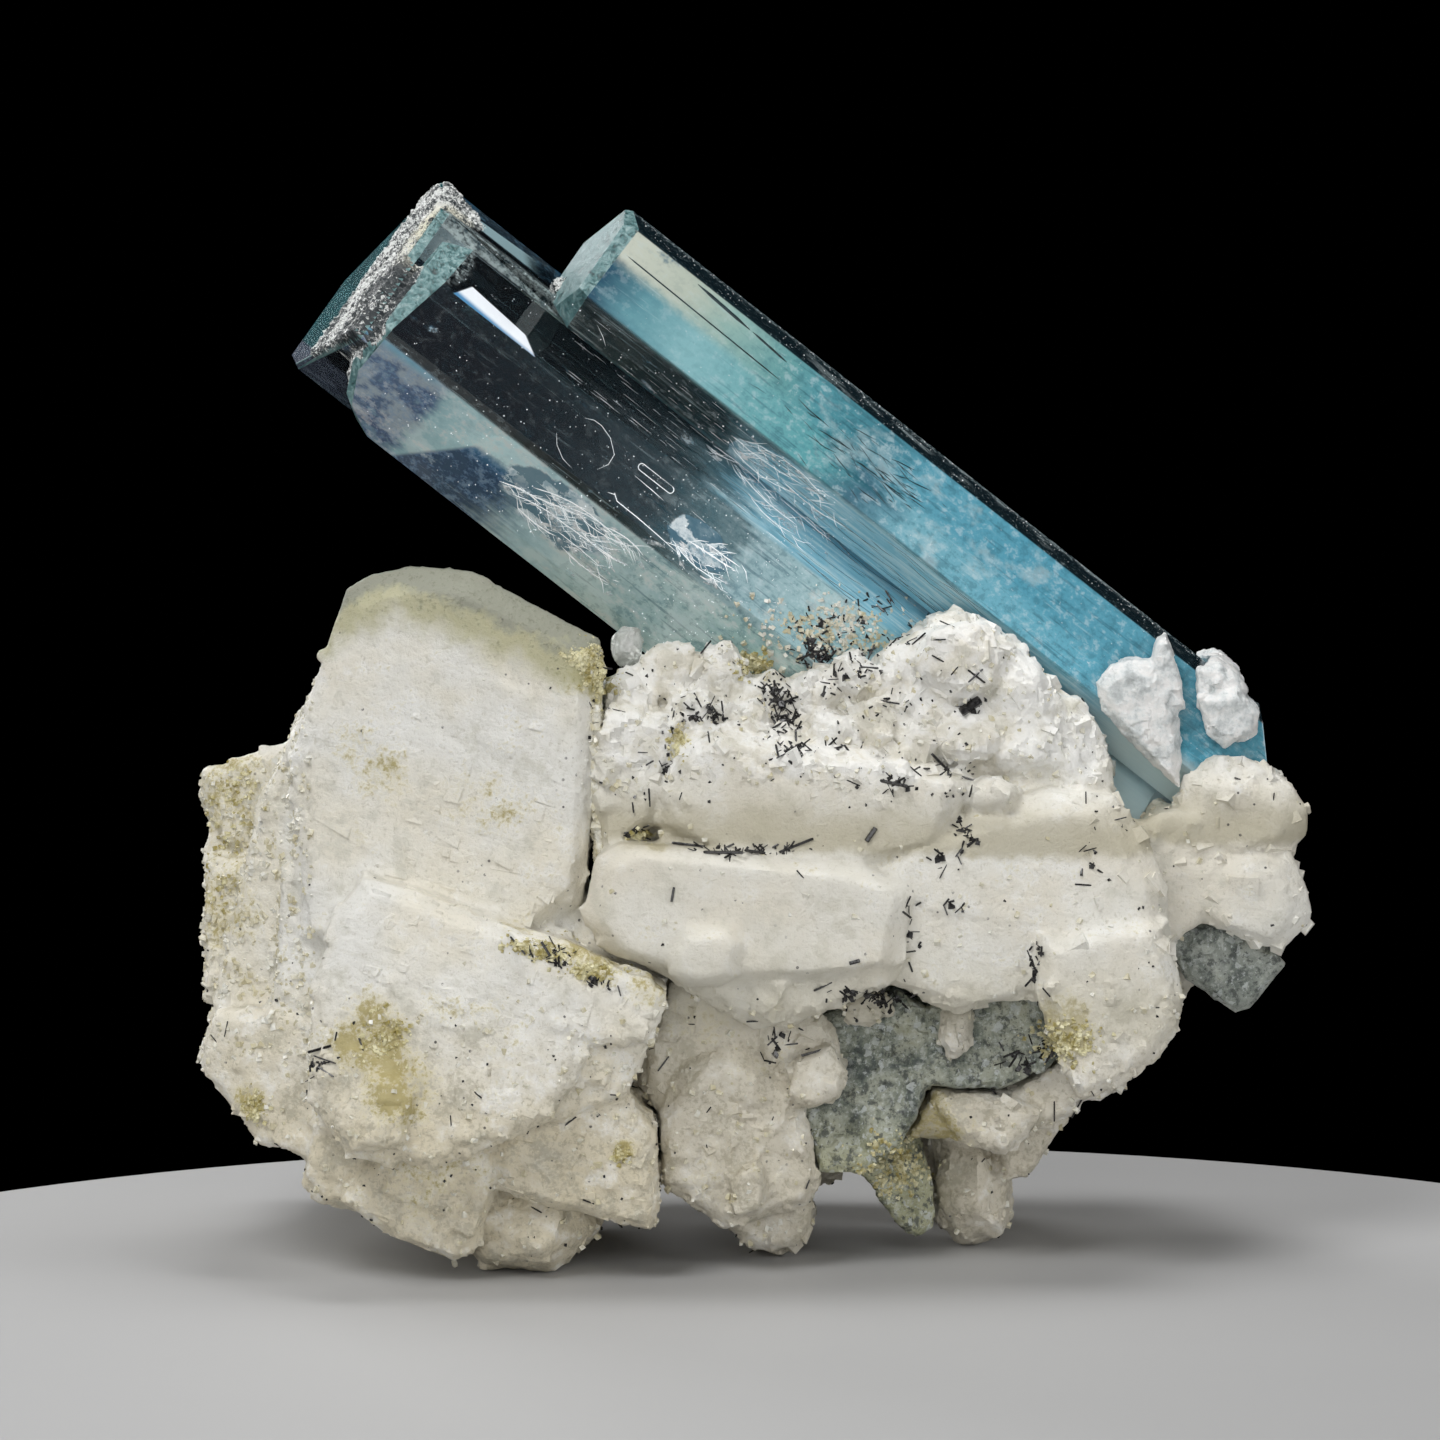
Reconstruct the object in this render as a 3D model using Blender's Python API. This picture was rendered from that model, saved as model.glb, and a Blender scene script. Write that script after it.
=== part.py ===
"""An aquamarine crystal group, grown through a matrix of feldspar, albite and quartz that it stands on.

Metres, +Z up, and the show side faces -Y. Every size below is in millimetres: x runs to the right,
y to the back and z up from the surface that the specimen stands on. The last step moves the
whole specimen so that the origin is the centre of its base.
"""

import math
import random

import bmesh
import bpy
from mathutils import Euler, Matrix, Vector

MM = 0.001
GAP = 0.3  # clearance between two pieces that touch
FLOOR = 0.0  # height at which the lowest lumps are worn flat
WELD = 0.0005  # how near two points are made one after a cut
SAME_CORNER = 0.01  # corners of one shape nearer than this are made one
SAME_FACE = math.radians(0.5)  # faces of one shape that differ by less than this are made one
THINNEST = 1.0  # the least depth of a block's side
REACH = 60.0  # further than any piece goes from the middle

# ---------------------------------------------------------------- the crystal group's frame
RISE = math.radians(38.6)  # the prisms' long axis above the horizon, tip up
TOWARD = math.radians(6.4)  # the tip's turn towards the show side
FACING = math.radians(8.0)  # the direction that the prism faces are measured from, above the horizon
TIP = Vector((-13.8, 4.6, 62.6))  # on the axis of the tall prism's end face, level with the top edge

# The prisms' cross-sections, as (across, forward), and the end faces' places along the axis
TALL_SECTION = [(-5.0, -2.7), (-12.6, -9.3), (-17.8, -7.6), (-18.1, -3.8), (-14.7, 7.5), (-6.3, 4.6)]
EDGE_SECTION = [(0.0, 4.6), (-2.9, -0.3), (-6.4, 1.0), (-7.3, 6.5), (-5.3, 9.4), (-0.7, 7.9)]
TALL_END, EDGE_END, PLATE_END = 0.0, -8.0, -0.9
TALL_ROOT, EDGE_ROOT, PLATE_ROOT = -54.0, -56.6, -52.0  # the broken root ends

FINISHES = {  # each piece's colour, roughness and transmission
    "aquamarine": ((0.30, 0.62, 0.72), 0.05, 0.9),
    "feldspar_blocks": ((0.82, 0.80, 0.76), 0.45, 0.0),
    "smoky_quartz": ((0.36, 0.39, 0.40), 0.30, 0.3),
    "quartz_point": ((0.72, 0.75, 0.76), 0.15, 0.6),
    "quartz_grain": ((0.76, 0.78, 0.78), 0.15, 0.6),
    "albite_mass": ((0.85, 0.83, 0.80), 0.55, 0.0),
    "albite_bud": ((0.78, 0.79, 0.78), 0.55, 0.0),
    "albite_knob": ((0.70, 0.72, 0.72), 0.55, 0.0),
}


def crystal_axes():
    """The group's own directions: across is up and to the right, forward is to the show side, and
    along is to the tip."""
    along = Vector(
        (-math.cos(RISE) * math.cos(TOWARD), -math.cos(RISE) * math.sin(TOWARD), math.sin(RISE))
    )
    facing = Vector((0.0, -math.cos(FACING), math.sin(FACING)))
    forward = (facing - along * facing.dot(along)).normalized()
    return along.cross(forward), forward, along


ACROSS, FORWARD, ALONG = crystal_axes()


def in_crystal(across, forward, along):
    return TIP + ACROSS * across + FORWARD * forward + ALONG * along


# ---------------------------------------------------------------- shapes, each a convex solid
def hull(points, grow=0.0):
    """A mesh in millimetres around the points. grow pushes every face out by at least that much."""
    if grow:
        corners = [Vector((sx, sy, sz)) * grow for sx in (-1, 1) for sy in (-1, 1) for sz in (-1, 1)]
        points = [p + c for p in points for c in corners]
    made = bmesh.new()
    for p in points:
        made.verts.new(p)
    done = bmesh.ops.convex_hull(made, input=made.verts)
    inside = set(done["geom_interior"]) | set(done["geom_unused"])
    bmesh.ops.delete(made, geom=[v for v in inside if isinstance(v, bmesh.types.BMVert)], context="VERTS")
    bmesh.ops.remove_doubles(made, verts=made.verts, dist=SAME_CORNER)
    bmesh.ops.dissolve_limit(made, angle_limit=SAME_FACE, verts=made.verts, edges=made.edges)
    bmesh.ops.recalc_face_normals(made, faces=made.faces)
    return made


def prism(section, end, rims, root, root_slope):
    """The points of a prism with a flat end face, bevelled at each edge by its rim, and a broken root.
    root_slope is the root's change along the axis for each millimetre across and forward."""
    middle = sum((Vector(c) for c in section), Vector((0.0, 0.0))) / len(section)
    points = []
    for corner, rim in zip(section, rims):
        out = Vector(corner) - middle
        inset = middle + out * (1 - 0.5 * rim / out.length)
        points.append(in_crystal(inset[0], inset[1], end))
        points.append(in_crystal(*corner, end - rim))
        points.append(in_crystal(*corner, root + root_slope[0] * out[0] + root_slope[1] * out[1]))
    return points


def front_plate():
    """The overgrowth on the tall prism's show side. Its end face falls away at the lower corner."""
    corners = [  # across, forward, drop of the end face there, drop of its bevelled edge
        (-6.7, 4.4, 0.3, 1.9),
        (-9.5, 7.7, 0.0, 1.3),
        (-13.4, 9.0, 0.0, 0.4),
        (-16.2, 6.9, 0.1, 0.6),
        (-17.9, 5.4, 1.1, 1.7),
        (-18.7, 4.5, 2.5, 3.6),
        (-18.5, 2.0, 2.8, 4.2),
        (-12.0, -2.0, 0.0, 0.5),
    ]
    middle = Vector((-12.5, 3.5))
    points = []
    for across, forward, end, rim in corners:
        out = Vector((across, forward)) - middle
        inset = middle + out * (1 - 0.4 / out.length)
        points.append(in_crystal(inset[0], inset[1], PLATE_END - end))
        points.append(in_crystal(across, forward, PLATE_END - rim))
        points.append(in_crystal(across, forward, PLATE_ROOT - 0.1 * across))
    return points


def block(outline, front, back, slope=(0, 0), rear_slope=(0, 0), inset=0.7, bevel=0.5, taper=0.9, sink=0.0):
    """A crystal or cleavage block: its outline (x, z) as seen from the show side, between the depths
    front and back. The slopes tilt those two faces, in depth for each millimetre of x and of z. The
    front's edge is bevelled by inset and bevel. The back is the outline shrunk to taper and lowered
    by sink."""
    flat = [Vector(p) for p in outline]
    middle = sum(flat, Vector((0.0, 0.0))) / len(flat)
    points = []
    for p in flat:
        out = p - middle
        face = middle + out * max(0.2, 1 - inset / out.length)
        rear = middle + out * taper
        rear_y = back + rear_slope[0] * out.x + rear_slope[1] * out.y
        rim_y = front + bevel + slope[0] * out.x + slope[1] * out.y
        face_out = face - middle
        face_y = front + slope[0] * face_out.x + slope[1] * face_out.y
        points.append(Vector((face.x, face_y, face.y)))
        points.append(Vector((p.x, min(rim_y, back - THINNEST), p.y)))
        points.append(Vector((rear.x, rear_y, rear.y - sink)))
    return points


def lump(centre, radii, seed, corners=22, shortest=0.86, longest=1.08):
    """A pebble of feldspar, albite or quartz: points spread evenly over an ellipsoid, each pushed in or
    out a little."""
    rng = random.Random(seed)
    turn = Euler([rng.uniform(0, math.tau) for _ in range(3)]).to_matrix()
    golden = math.pi * (3 - math.sqrt(5))
    points = []
    for k in range(corners):
        z = 1 - 2 * (k + 0.5) / corners
        ring = math.sqrt(1 - z * z)
        unit = Vector((ring * math.cos(golden * k), ring * math.sin(golden * k), z))
        unit = turn @ unit * rng.uniform(shortest, longest)
        points.append(Vector(centre) + Vector(u * r for u, r in zip(unit, radii)))
    return points


# ---------------------------------------------------------------- the pieces' own shapes
AQUAMARINE_SHAPES = [
    # three prisms side by side on one axis, each broken across at the root
    prism(TALL_SECTION, TALL_END, (0.3, 0.3, 0.3, 0.3, 0.5, 0.5), TALL_ROOT, (-0.25, 0.3)),
    prism(EDGE_SECTION, EDGE_END, (0.4, 0.3, 0.3, 1.2, 0.6, 0.8), EDGE_ROOT, (0.98, 0.2)),
    front_plate(),
]
FELDSPAR_SHAPES = [
    # the tall cleavage block, a bevelled side strip down its left, and the foot of that strip
    block([(-22.2, 37.7), (-20.8, 38.5), (-18.7, 38.9), (-15.4, 38.7), (-12.7, 37.1), (-8.4, 35.0),
           (-8.3, 31.8), (-8.9, 24.7), (-9.4, 20.6), (-12.8, 18.0), (-24.8, 18.2), (-25.3, 28.5),
           (-23.7, 32.9)],
          front=-9.0, back=8.0, slope=(-0.03, 0.05), inset=1.3, bevel=1.3, taper=0.92, sink=4.6),
    block([(-23.6, 33.0), (-20.6, 33.5), (-19.4, 20.4), (-21.6, 9.3), (-27.4, 9.0), (-30.0, 11.6),
           (-29.6, 14.5), (-28.1, 20.9), (-26.6, 26.4)],
          front=-6.2, back=6.0, slope=(-0.55, 0.02), inset=0.5, bevel=0.4),
    block([(-30.1, 12.5), (-29.4, 14.3), (-24.8, 14.7), (-22.1, 13.9), (-22.4, 8.9), (-23.8, 6.7),
           (-27.0, 7.1), (-27.4, 9.2), (-30.4, 11.2)],
          front=-8.2, back=5.0, slope=(-0.35, 0.06), inset=0.6, bevel=0.5),
    # crystals that stand out of its left side
    block([(-30.4, 26.7), (-25.6, 28.5), (-24.0, 25.4), (-25.7, 21.5), (-28.1, 21.3), (-29.8, 23.2),
           (-30.5, 25.2)],
          front=-1.2, back=8.0, slope=(-0.25, -0.05), inset=0.6, bevel=0.6, taper=0.75, sink=1.6),
    block([(-30.1, 21.9), (-26.2, 22.4), (-26.2, 15.5), (-28.5, 13.7), (-30.3, 14.0), (-29.7, 16.1),
           (-30.2, 17.9)],
          front=-2.6, back=7.5, slope=(-0.30, 0.04), inset=0.5, bevel=0.5, taper=0.8),
    # the block that stands furthest forward, its right shoulder and the step below it
    block([(-21.2, 22.4), (-18.2, 21.7), (-12.7, 19.5), (-9.6, 17.6), (-9.2, 12.6), (-11.0, 9.4),
           (-13.9, 8.1), (-17.6, 6.7), (-22.2, 7.8), (-24.3, 10.5), (-23.9, 16.5), (-22.4, 20.9)],
          front=-13.2, back=2.0, slope=(-0.02, 0.16), inset=0.9, bevel=0.7),
    block([(-13.4, 19.7), (-10.4, 18.9), (-4.7, 16.3), (-5.5, 13.6), (-8.6, 13.4), (-12.0, 14.4)],
          front=-12.9, back=2.0, slope=(0.10, 0.10), inset=0.6, bevel=0.4),
    block([(-10.6, 14.6), (-5.6, 14.0), (-7.0, 10.4), (-10.9, 9.0), (-12.6, 11.5)],
          front=-12.1, back=2.0, slope=(0.16, 0.0), inset=0.5, bevel=0.4),
    # a small cube on its face
    block([(-22.6, 9.9), (-20.8, 12.2), (-19.0, 12.0), (-18.4, 10.4), (-19.0, 8.2), (-21.9, 7.9)],
          front=-15.0, back=-8.0, slope=(0.08, 0.10), inset=0.5, bevel=0.5),
    # the undercut lower edge
    block([(-24.4, 7.1), (-24.5, 5.3), (-23.9, 4.2), (-21.4, 3.6), (-18.6, 4.6), (-18.0, 8.9),
           (-23.7, 9.6)],
          front=-10.4, back=5.0, slope=(-0.1, -0.12), inset=0.6, bevel=0.6),
    block([(-22.6, 4.6), (-20.2, 2.7), (-17.4, 1.6), (-16.4, 1.1), (-15.3, 1.6), (-14.2, 4.5),
           (-13.6, 8.0), (-19.0, 9.0)],
          front=-11.0, back=4.0, slope=(0.05, -0.10), inset=0.7, bevel=0.6),
    block([(-13.9, 8.6), (-10.8, 9.8), (-7.0, 10.4), (-5.4, 8.5), (-5.4, 6.0), (-5.2, 4.0),
           (-5.6, 3.0), (-7.3, 3.4), (-11.5, 4.3), (-14.2, 5.5)],
          front=-11.2, back=3.0, slope=(0.06, -0.05), inset=0.7, bevel=0.6),
    # the rough seam between the two big blocks
    block([(-14.5, 19.6), (-12.6, 21.0), (-9.8, 21.6), (-8.6, 19.0), (-5.6, 16.8), (-8.5, 16.0),
           (-14.0, 18.2)],
          front=-8.4, back=1.0, slope=(0.10, 0.30), inset=0.5, bevel=0.4),
    block([(-26.2, 13.0), (-25.8, 22.5), (-21.5, 22.5), (-21.5, 13.0)],
          front=-8.5, back=1.0, slope=(-0.35, 0.04), inset=0.3, bevel=0.3),
    # the back of the tall block, stepped down in three ledges
    block([(-27.5, 12.0), (-28.2, 20.0), (-24.6, 30.5), (-19.0, 34.5), (-12.0, 32.0), (-9.6, 22.0),
           (-10.0, 10.0), (-16.0, 7.5)],
          front=2.0, back=11.4, rear_slope=(0.05, -0.10), inset=0.8, bevel=0.8, taper=0.84, sink=1.5),
    block([(-26.6, 5.0), (-27.2, 17.0), (-22.4, 25.6), (-13.0, 24.0), (-10.2, 14.0), (-11.6, 5.4),
           (-19.0, 3.6)],
          front=4.0, back=14.2, rear_slope=(-0.10, -0.12), inset=0.8, bevel=0.8, taper=0.80),
    block([(-21.6, 2.6), (-23.4, 10.0), (-17.6, 17.6), (-10.8, 15.6), (-10.4, 6.0), (-14.6, 1.8)],
          front=4.0, back=15.6, rear_slope=(0.16, -0.06), inset=0.8, bevel=0.8, taper=0.74),
    # lumps: centre, radii, seed
    lump((-12.4, -4.6, 2.9), (4.8, 6.2, 3.5), 3),  # the lowest lump, which it stands on
    lump((-15.0, 10.0, 3.0), (4.6, 4.2, 3.6), 8),  # its foot at the back
    lump((-22.6, 6.0, 6.2), (3.8, 4.6, 3.0), 9),
    lump((-19.0, -1.0, 4.6), (3.6, 4.4, 2.8), 10),
    lump((-8.6, 3.6, 6.0), (3.2, 4.4, 3.0), 11),
    lump((-28.0, 0.6, 19.0), (1.9, 2.4, 2.6), 12),
    lump((-28.3, 1.4, 24.2), (1.8, 2.4, 1.9), 15),
    lump((-14.0, 10.6, 25.4), (3.4, 3.0, 3.0), 21),
    lump((-26.6, 7.0, 13.4), (2.6, 3.6, 3.4), 22),
]

ALBITE_SHAPES = [
    # the upper slab, in two lengths
    block([(-9.2, 29.8), (-8.3, 31.6), (-3.9, 30.8), (-4.2, 28.5), (-5.4, 24.8), (-8.2, 23.1),
           (-9.0, 26.2)],
          front=-8.8, back=3.0, slope=(0.02, 0.10), inset=0.9, bevel=1.0),
    block([(-4.4, 29.5), (-3.1, 30.2), (1.0, 29.6), (9.8, 28.1), (11.6, 27.2), (10.8, 23.9),
           (5.9, 22.3), (1.6, 22.7), (-3.3, 23.5), (-5.8, 25.0)],
          front=-9.4, back=2.0, slope=(0.01, 0.12), inset=1.3, bevel=1.3),
    # the lower slab, its foot and the nub on it
    block([(-9.4, 20.1), (-8.7, 23.3), (-7.5, 24.1), (-3.7, 23.9), (5.9, 22.8), (8.3, 21.9),
           (8.6, 21.2), (7.9, 17.4), (3.8, 16.6), (-3.0, 16.4), (-8.0, 18.2)],
          front=-11.4, back=2.0, slope=(0.02, 0.10), inset=1.2, bevel=1.1),
    block([(-8.0, 18.6), (-2.3, 15.6), (0.0, 13.8), (1.7, 13.9), (4.8, 15.5), (7.6, 16.4),
           (8.2, 19.8), (0.0, 20.4)],
          front=-10.8, back=2.0, slope=(0.02, -0.14), inset=0.9, bevel=0.8),
    block([(-4.8, 18.4), (-3.9, 19.8), (-1.4, 19.9), (-0.7, 19.0), (-0.8, 17.2), (-1.8, 16.6),
           (-3.7, 16.5), (-4.7, 17.2)],
          front=-12.7, back=-6.0, slope=(0.0, 0.04), inset=0.8, bevel=0.8, taper=1.0),
    # the broad right-hand slab, the ledge under it and its lower lobe
    block([(6.2, 22.4), (7.3, 23.6), (10.8, 24.2), (12.5, 25.9), (16.1, 26.7), (19.6, 26.2),
           (21.5, 23.6), (22.5, 21.2), (22.6, 19.0), (18.3, 18.1), (8.2, 19.9)],
          front=-8.9, back=3.0, slope=(0.12, 0.12), inset=1.4, bevel=1.4),
    block([(7.2, 20.8), (13.0, 20.9), (18.2, 20.0), (22.6, 19.6), (22.8, 17.5), (18.0, 16.2),
           (14.4, 16.2), (12.6, 15.2), (11.2, 14.7), (7.2, 16.2)],
          front=-9.2, back=2.0, slope=(0.08, -0.02), inset=0.9, bevel=0.8),
    block([(15.6, 18.6), (19.3, 19.6), (21.7, 19.7), (22.8, 17.5), (23.4, 15.3), (23.0, 13.5),
           (22.1, 12.2), (19.8, 10.5), (17.6, 9.8), (16.4, 12.6), (15.2, 15.9)],
          front=-9.8, back=2.0, slope=(0.16, 0.03), inset=0.9, bevel=0.8),
    # the saddle of small crystals behind the slabs, up against the aquamarine
    block([(-8.0, 30.6), (-6.4, 32.4), (-4.8, 33.0), (-1.4, 32.4), (2.6, 31.2), (6.4, 31.8),
           (12.0, 31.0), (19.0, 27.0), (18.0, 24.0), (-6.0, 24.0)],
          front=-5.6, back=4.0, slope=(0.02, 0.18), inset=1.0, bevel=0.8),
    block([(6.1, 32.3), (7.2, 34.0), (9.4, 34.8), (10.8, 36.0), (13.2, 35.2), (14.3, 34.0),
           (16.5, 31.9), (17.2, 29.0), (12.0, 27.4), (6.9, 28.6)],
          front=-6.0, back=4.0, slope=(0.06, 0.16), inset=1.1, bevel=1.0),
    block([(12.5, 27.8), (14.5, 31.5), (17.6, 31.1), (18.9, 29.2), (19.6, 27.3), (19.8, 25.4),
           (15.5, 25.6)],
          front=-5.0, back=4.0, slope=(0.16, 0.10), inset=0.8, bevel=0.7),
    # the body under the slabs, down to the lower lumps
    block([(-7.0, 16.5), (-6.0, 20.0), (14.0, 20.0), (21.0, 17.0), (20.0, 10.6), (14.0, 7.4),
           (8.6, 8.6), (-2.0, 6.0), (-6.8, 8.0)],
          front=-5.4, back=12.6, slope=(0.04, 0.0), inset=0.8, bevel=0.6, taper=0.94),
    block([(-6.2, 14.6), (-4.4, 16.2), (2.0, 15.6), (4.6, 13.2), (4.8, 10.0), (-1.0, 8.4), (-5.6, 8.8)],
          front=-7.2, back=2.0, slope=(0.05, -0.05), inset=0.7, bevel=0.6),
    # the lower middle lump: body, foot, and two small blocks on it
    block([(-5.6, 5.2), (-5.3, 8.9), (-3.7, 11.6), (-1.4, 12.6), (2.4, 10.2), (3.2, 7.4), (3.7, 5.0),
           (3.0, 3.6), (-1.6, 2.2), (-3.2, 4.0)],
          front=-8.0, back=5.0, slope=(0.08, -0.06), inset=0.8, bevel=0.8),
    block([(-2.4, 2.9), (-1.0, 2.0), (-0.4, 0.9), (1.0, 0.5), (2.5, 1.1), (3.1, 2.2), (3.3, 4.6),
           (0.0, 6.0), (-2.6, 4.8)],
          front=-5.4, back=4.0, slope=(0.02, -0.10), inset=0.6, bevel=0.6),
    block([(1.8, 10.0), (2.2, 11.9), (4.1, 12.8), (5.1, 11.2), (4.7, 9.7), (2.7, 9.3)],
          front=-8.9, back=-2.0, slope=(0.12, 0.08), inset=0.5, bevel=0.5),
    block([(-1.1, 5.6), (0.2, 6.7), (0.6, 5.3), (0.3, 3.6), (-1.1, 3.3)],
          front=-9.0, back=-4.0, slope=(0.10, 0.0), inset=0.3, bevel=0.3),
    # the lower right-hand side: shelf, white lump and thin lobe
    block([(9.4, 10.1), (11.2, 12.6), (17.0, 12.4), (20.2, 10.8), (17.6, 8.4), (15.9, 7.4),
           (11.3, 7.2), (9.2, 8.2)],
          front=-5.2, back=6.0, slope=(0.08, 0.06), inset=0.7, bevel=0.6),
    block([(9.8, 9.1), (11.6, 9.8), (13.4, 9.5), (15.8, 8.8), (15.0, 7.2), (13.7, 6.2), (11.2, 7.0)],
          front=-6.6, back=0.0, slope=(0.06, 0.08), inset=0.7, bevel=0.7),
    block([(13.2, 7.4), (15.8, 8.6), (17.3, 8.6), (17.2, 7.2), (16.1, 5.5), (15.1, 4.2), (13.8, 3.9)],
          front=-1.2, back=5.0, slope=(0.15, 0.0), inset=0.5, bevel=0.4),
    # the grainy neck between the right-hand slab and the root, and the two round masses at the root
    block([(20.4, 22.4), (21.4, 24.4), (22.3, 24.9), (24.6, 24.6), (26.4, 21.5), (24.8, 18.6),
           (22.6, 17.4), (20.6, 17.6)],
          front=-3.4, back=9.0, slope=(0.25, -0.05), inset=0.5, bevel=0.4),
    block([(23.1, 24.4), (23.5, 26.7), (25.3, 27.7), (27.0, 27.5), (28.5, 26.8), (29.6, 25.9),
           (30.4, 24.6), (30.4, 23.3), (29.4, 22.2), (26.5, 21.4), (24.0, 22.3)],
          front=-2.5, back=6.4, slope=(0.06, 0.12), inset=1.4, bevel=1.2, taper=0.8),
    block([(24.2, 18.4), (23.5, 19.9), (24.4, 21.9), (27.0, 22.9), (29.5, 22.4), (30.5, 20.0),
           (30.4, 18.3), (29.0, 16.8), (27.6, 17.0), (26.1, 18.1)],
          front=-2.9, back=6.8, slope=(0.06, -0.06), inset=1.3, bevel=1.1, taper=0.8),
    # the back: slabs stepped like those in front, and the mass that holds the aquamarine's root
    block([(-8.4, 8.0), (-8.6, 21.0), (-4.0, 27.0), (6.0, 25.0), (12.0, 19.0), (13.0, 9.0), (4.0, 4.6),
           (-5.0, 5.0)],
          front=3.0, back=13.6, rear_slope=(0.04, -0.16), inset=0.8, bevel=0.8, taper=0.84),
    block([(-7.4, 9.0), (-6.6, 16.5), (2.0, 19.0), (8.4, 15.0), (8.0, 7.4), (-2.0, 4.2)],
          front=4.0, back=15.4, rear_slope=(-0.10, 0.08), inset=0.8, bevel=0.8, taper=0.78),
    block([(6.4, 8.4), (6.0, 17.0), (12.0, 22.0), (21.6, 21.4), (26.2, 16.6), (22.0, 11.0), (14.0, 7.4)],
          front=3.0, back=15.8, rear_slope=(0.06, 0.05), inset=0.8, bevel=0.8, taper=0.88),
    block([(11.0, 15.0), (11.6, 23.6), (17.0, 26.4), (22.4, 24.8), (25.6, 20.0), (22.6, 14.4), (16.0, 12.6)],
          front=5.0, back=17.6, rear_slope=(0.08, 0.0), inset=0.8, bevel=0.8, taper=0.86),
    # the crest of small grains in front of the aquamarine, left to right
    lump((-4.9, -4.6, 32.6), (1.9, 1.7, 2.0), 31),
    lump((-6.9, -5.6, 31.6), (1.5, 1.5, 1.3), 32),
    lump((-1.9, -4.2, 32.4), (1.7, 1.7, 1.8), 33),
    lump((0.9, -4.4, 31.1), (1.6, 1.6, 1.5), 34),
    lump((3.4, -4.4, 31.4), (1.7, 1.6, 1.7), 35),
    lump((5.4, -4.6, 32.5), (1.5, 1.6, 1.4), 36),
    lump((-3.2, -6.2, 30.6), (1.4, 1.4, 1.2), 37),
    lump((-0.4, -6.0, 30.3), (1.3, 1.4, 1.2), 38),
    lump((1.6, -6.5, 29.3), (1.2, 1.3, 1.0), 39),
    lump((4.1, -6.2, 29.7), (1.5, 1.4, 1.3), 40),
    lump((6.6, -6.2, 30.0), (1.6, 1.5, 1.4), 41),
    lump((8.9, -6.4, 29.0), (1.6, 1.5, 1.2), 42),
    lump((11.6, -6.2, 29.2), (2.1, 1.6, 1.3), 43),
    lump((14.6, -5.6, 28.7), (1.9, 1.6, 1.5), 44),
    lump((16.8, -4.6, 27.6), (1.8, 1.7, 1.8), 45),
    lump((10.9, -5.4, 33.4), (2.9, 2.2, 2.4), 46),
    lump((14.4, -4.6, 31.6), (2.2, 2.0, 2.2), 47),
    lump((7.9, -4.8, 32.4), (1.6, 1.5, 1.6), 48),
    lump((12.9, -7.4, 26.3), (1.7, 1.5, 1.1), 49),
    # knobs on the two round masses at the root
    lump((26.2, -0.6, 25.3), (2.2, 2.4, 1.9), 51),
    lump((24.4, -0.9, 24.2), (1.6, 1.9, 1.6), 52),
    lump((28.6, 0.9, 24.4), (1.6, 2.2, 1.7), 53),
    lump((27.2, -0.8, 20.4), (2.6, 2.4, 1.9), 54),
    lump((24.9, -0.9, 20.4), (1.6, 2.1, 1.8), 55),
    lump((28.9, 0.9, 18.9), (1.4, 2.4, 1.7), 57),
    lump((26.0, 6.8, 20.0), (3.6, 4.6, 4.4), 58),
    # lumps under the slabs and along the lower edge
    lump((-4.6, -6.4, 13.6), (1.8, 1.6, 1.6), 61),
    lump((6.2, -5.6, 14.4), (1.7, 1.5, 1.3), 62),
    lump((11.0, -6.2, 13.4), (1.2, 1.4, 1.8), 63),
    lump((18.4, -3.4, 10.6), (2.6, 2.6, 2.0), 64),
    # the feet: middle, right and back right
    lump((1.0, -0.8, 2.1), (2.6, 3.4, 2.5), 65),
    lump((12.0, 1.2, 3.0), (2.5, 3.2, 3.4), 66),
    lump((12.2, 2.2, 6.4), (3.0, 3.6, 2.6), 67),
    lump((10.8, 9.8, 3.9), (3.7, 4.4, 4.9), 68),
    lump((18.4, 8.6, 11.6), (4.2, 4.6, 3.4), 69),
    lump((-4.4, 11.4, 6.4), (3.8, 4.0, 3.4), 70),
    lump((24.2, 9.0, 22.4), (2.8, 4.6, 3.0), 71),
    lump((1.2, 13.0, 20.6), (3.4, 2.6, 2.8), 72),
    lump((14.0, 14.2, 11.0), (3.6, 3.4, 2.8), 73),
    lump((17.6, 16.0, 24.6), (2.6, 2.4, 2.4), 74),
    lump((2.4, 4.8, 5.4), (4.2, 4.4, 3.0), 75),
    lump((15.2, 3.6, 8.4), (3.2, 4.0, 2.8), 76),
]

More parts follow.
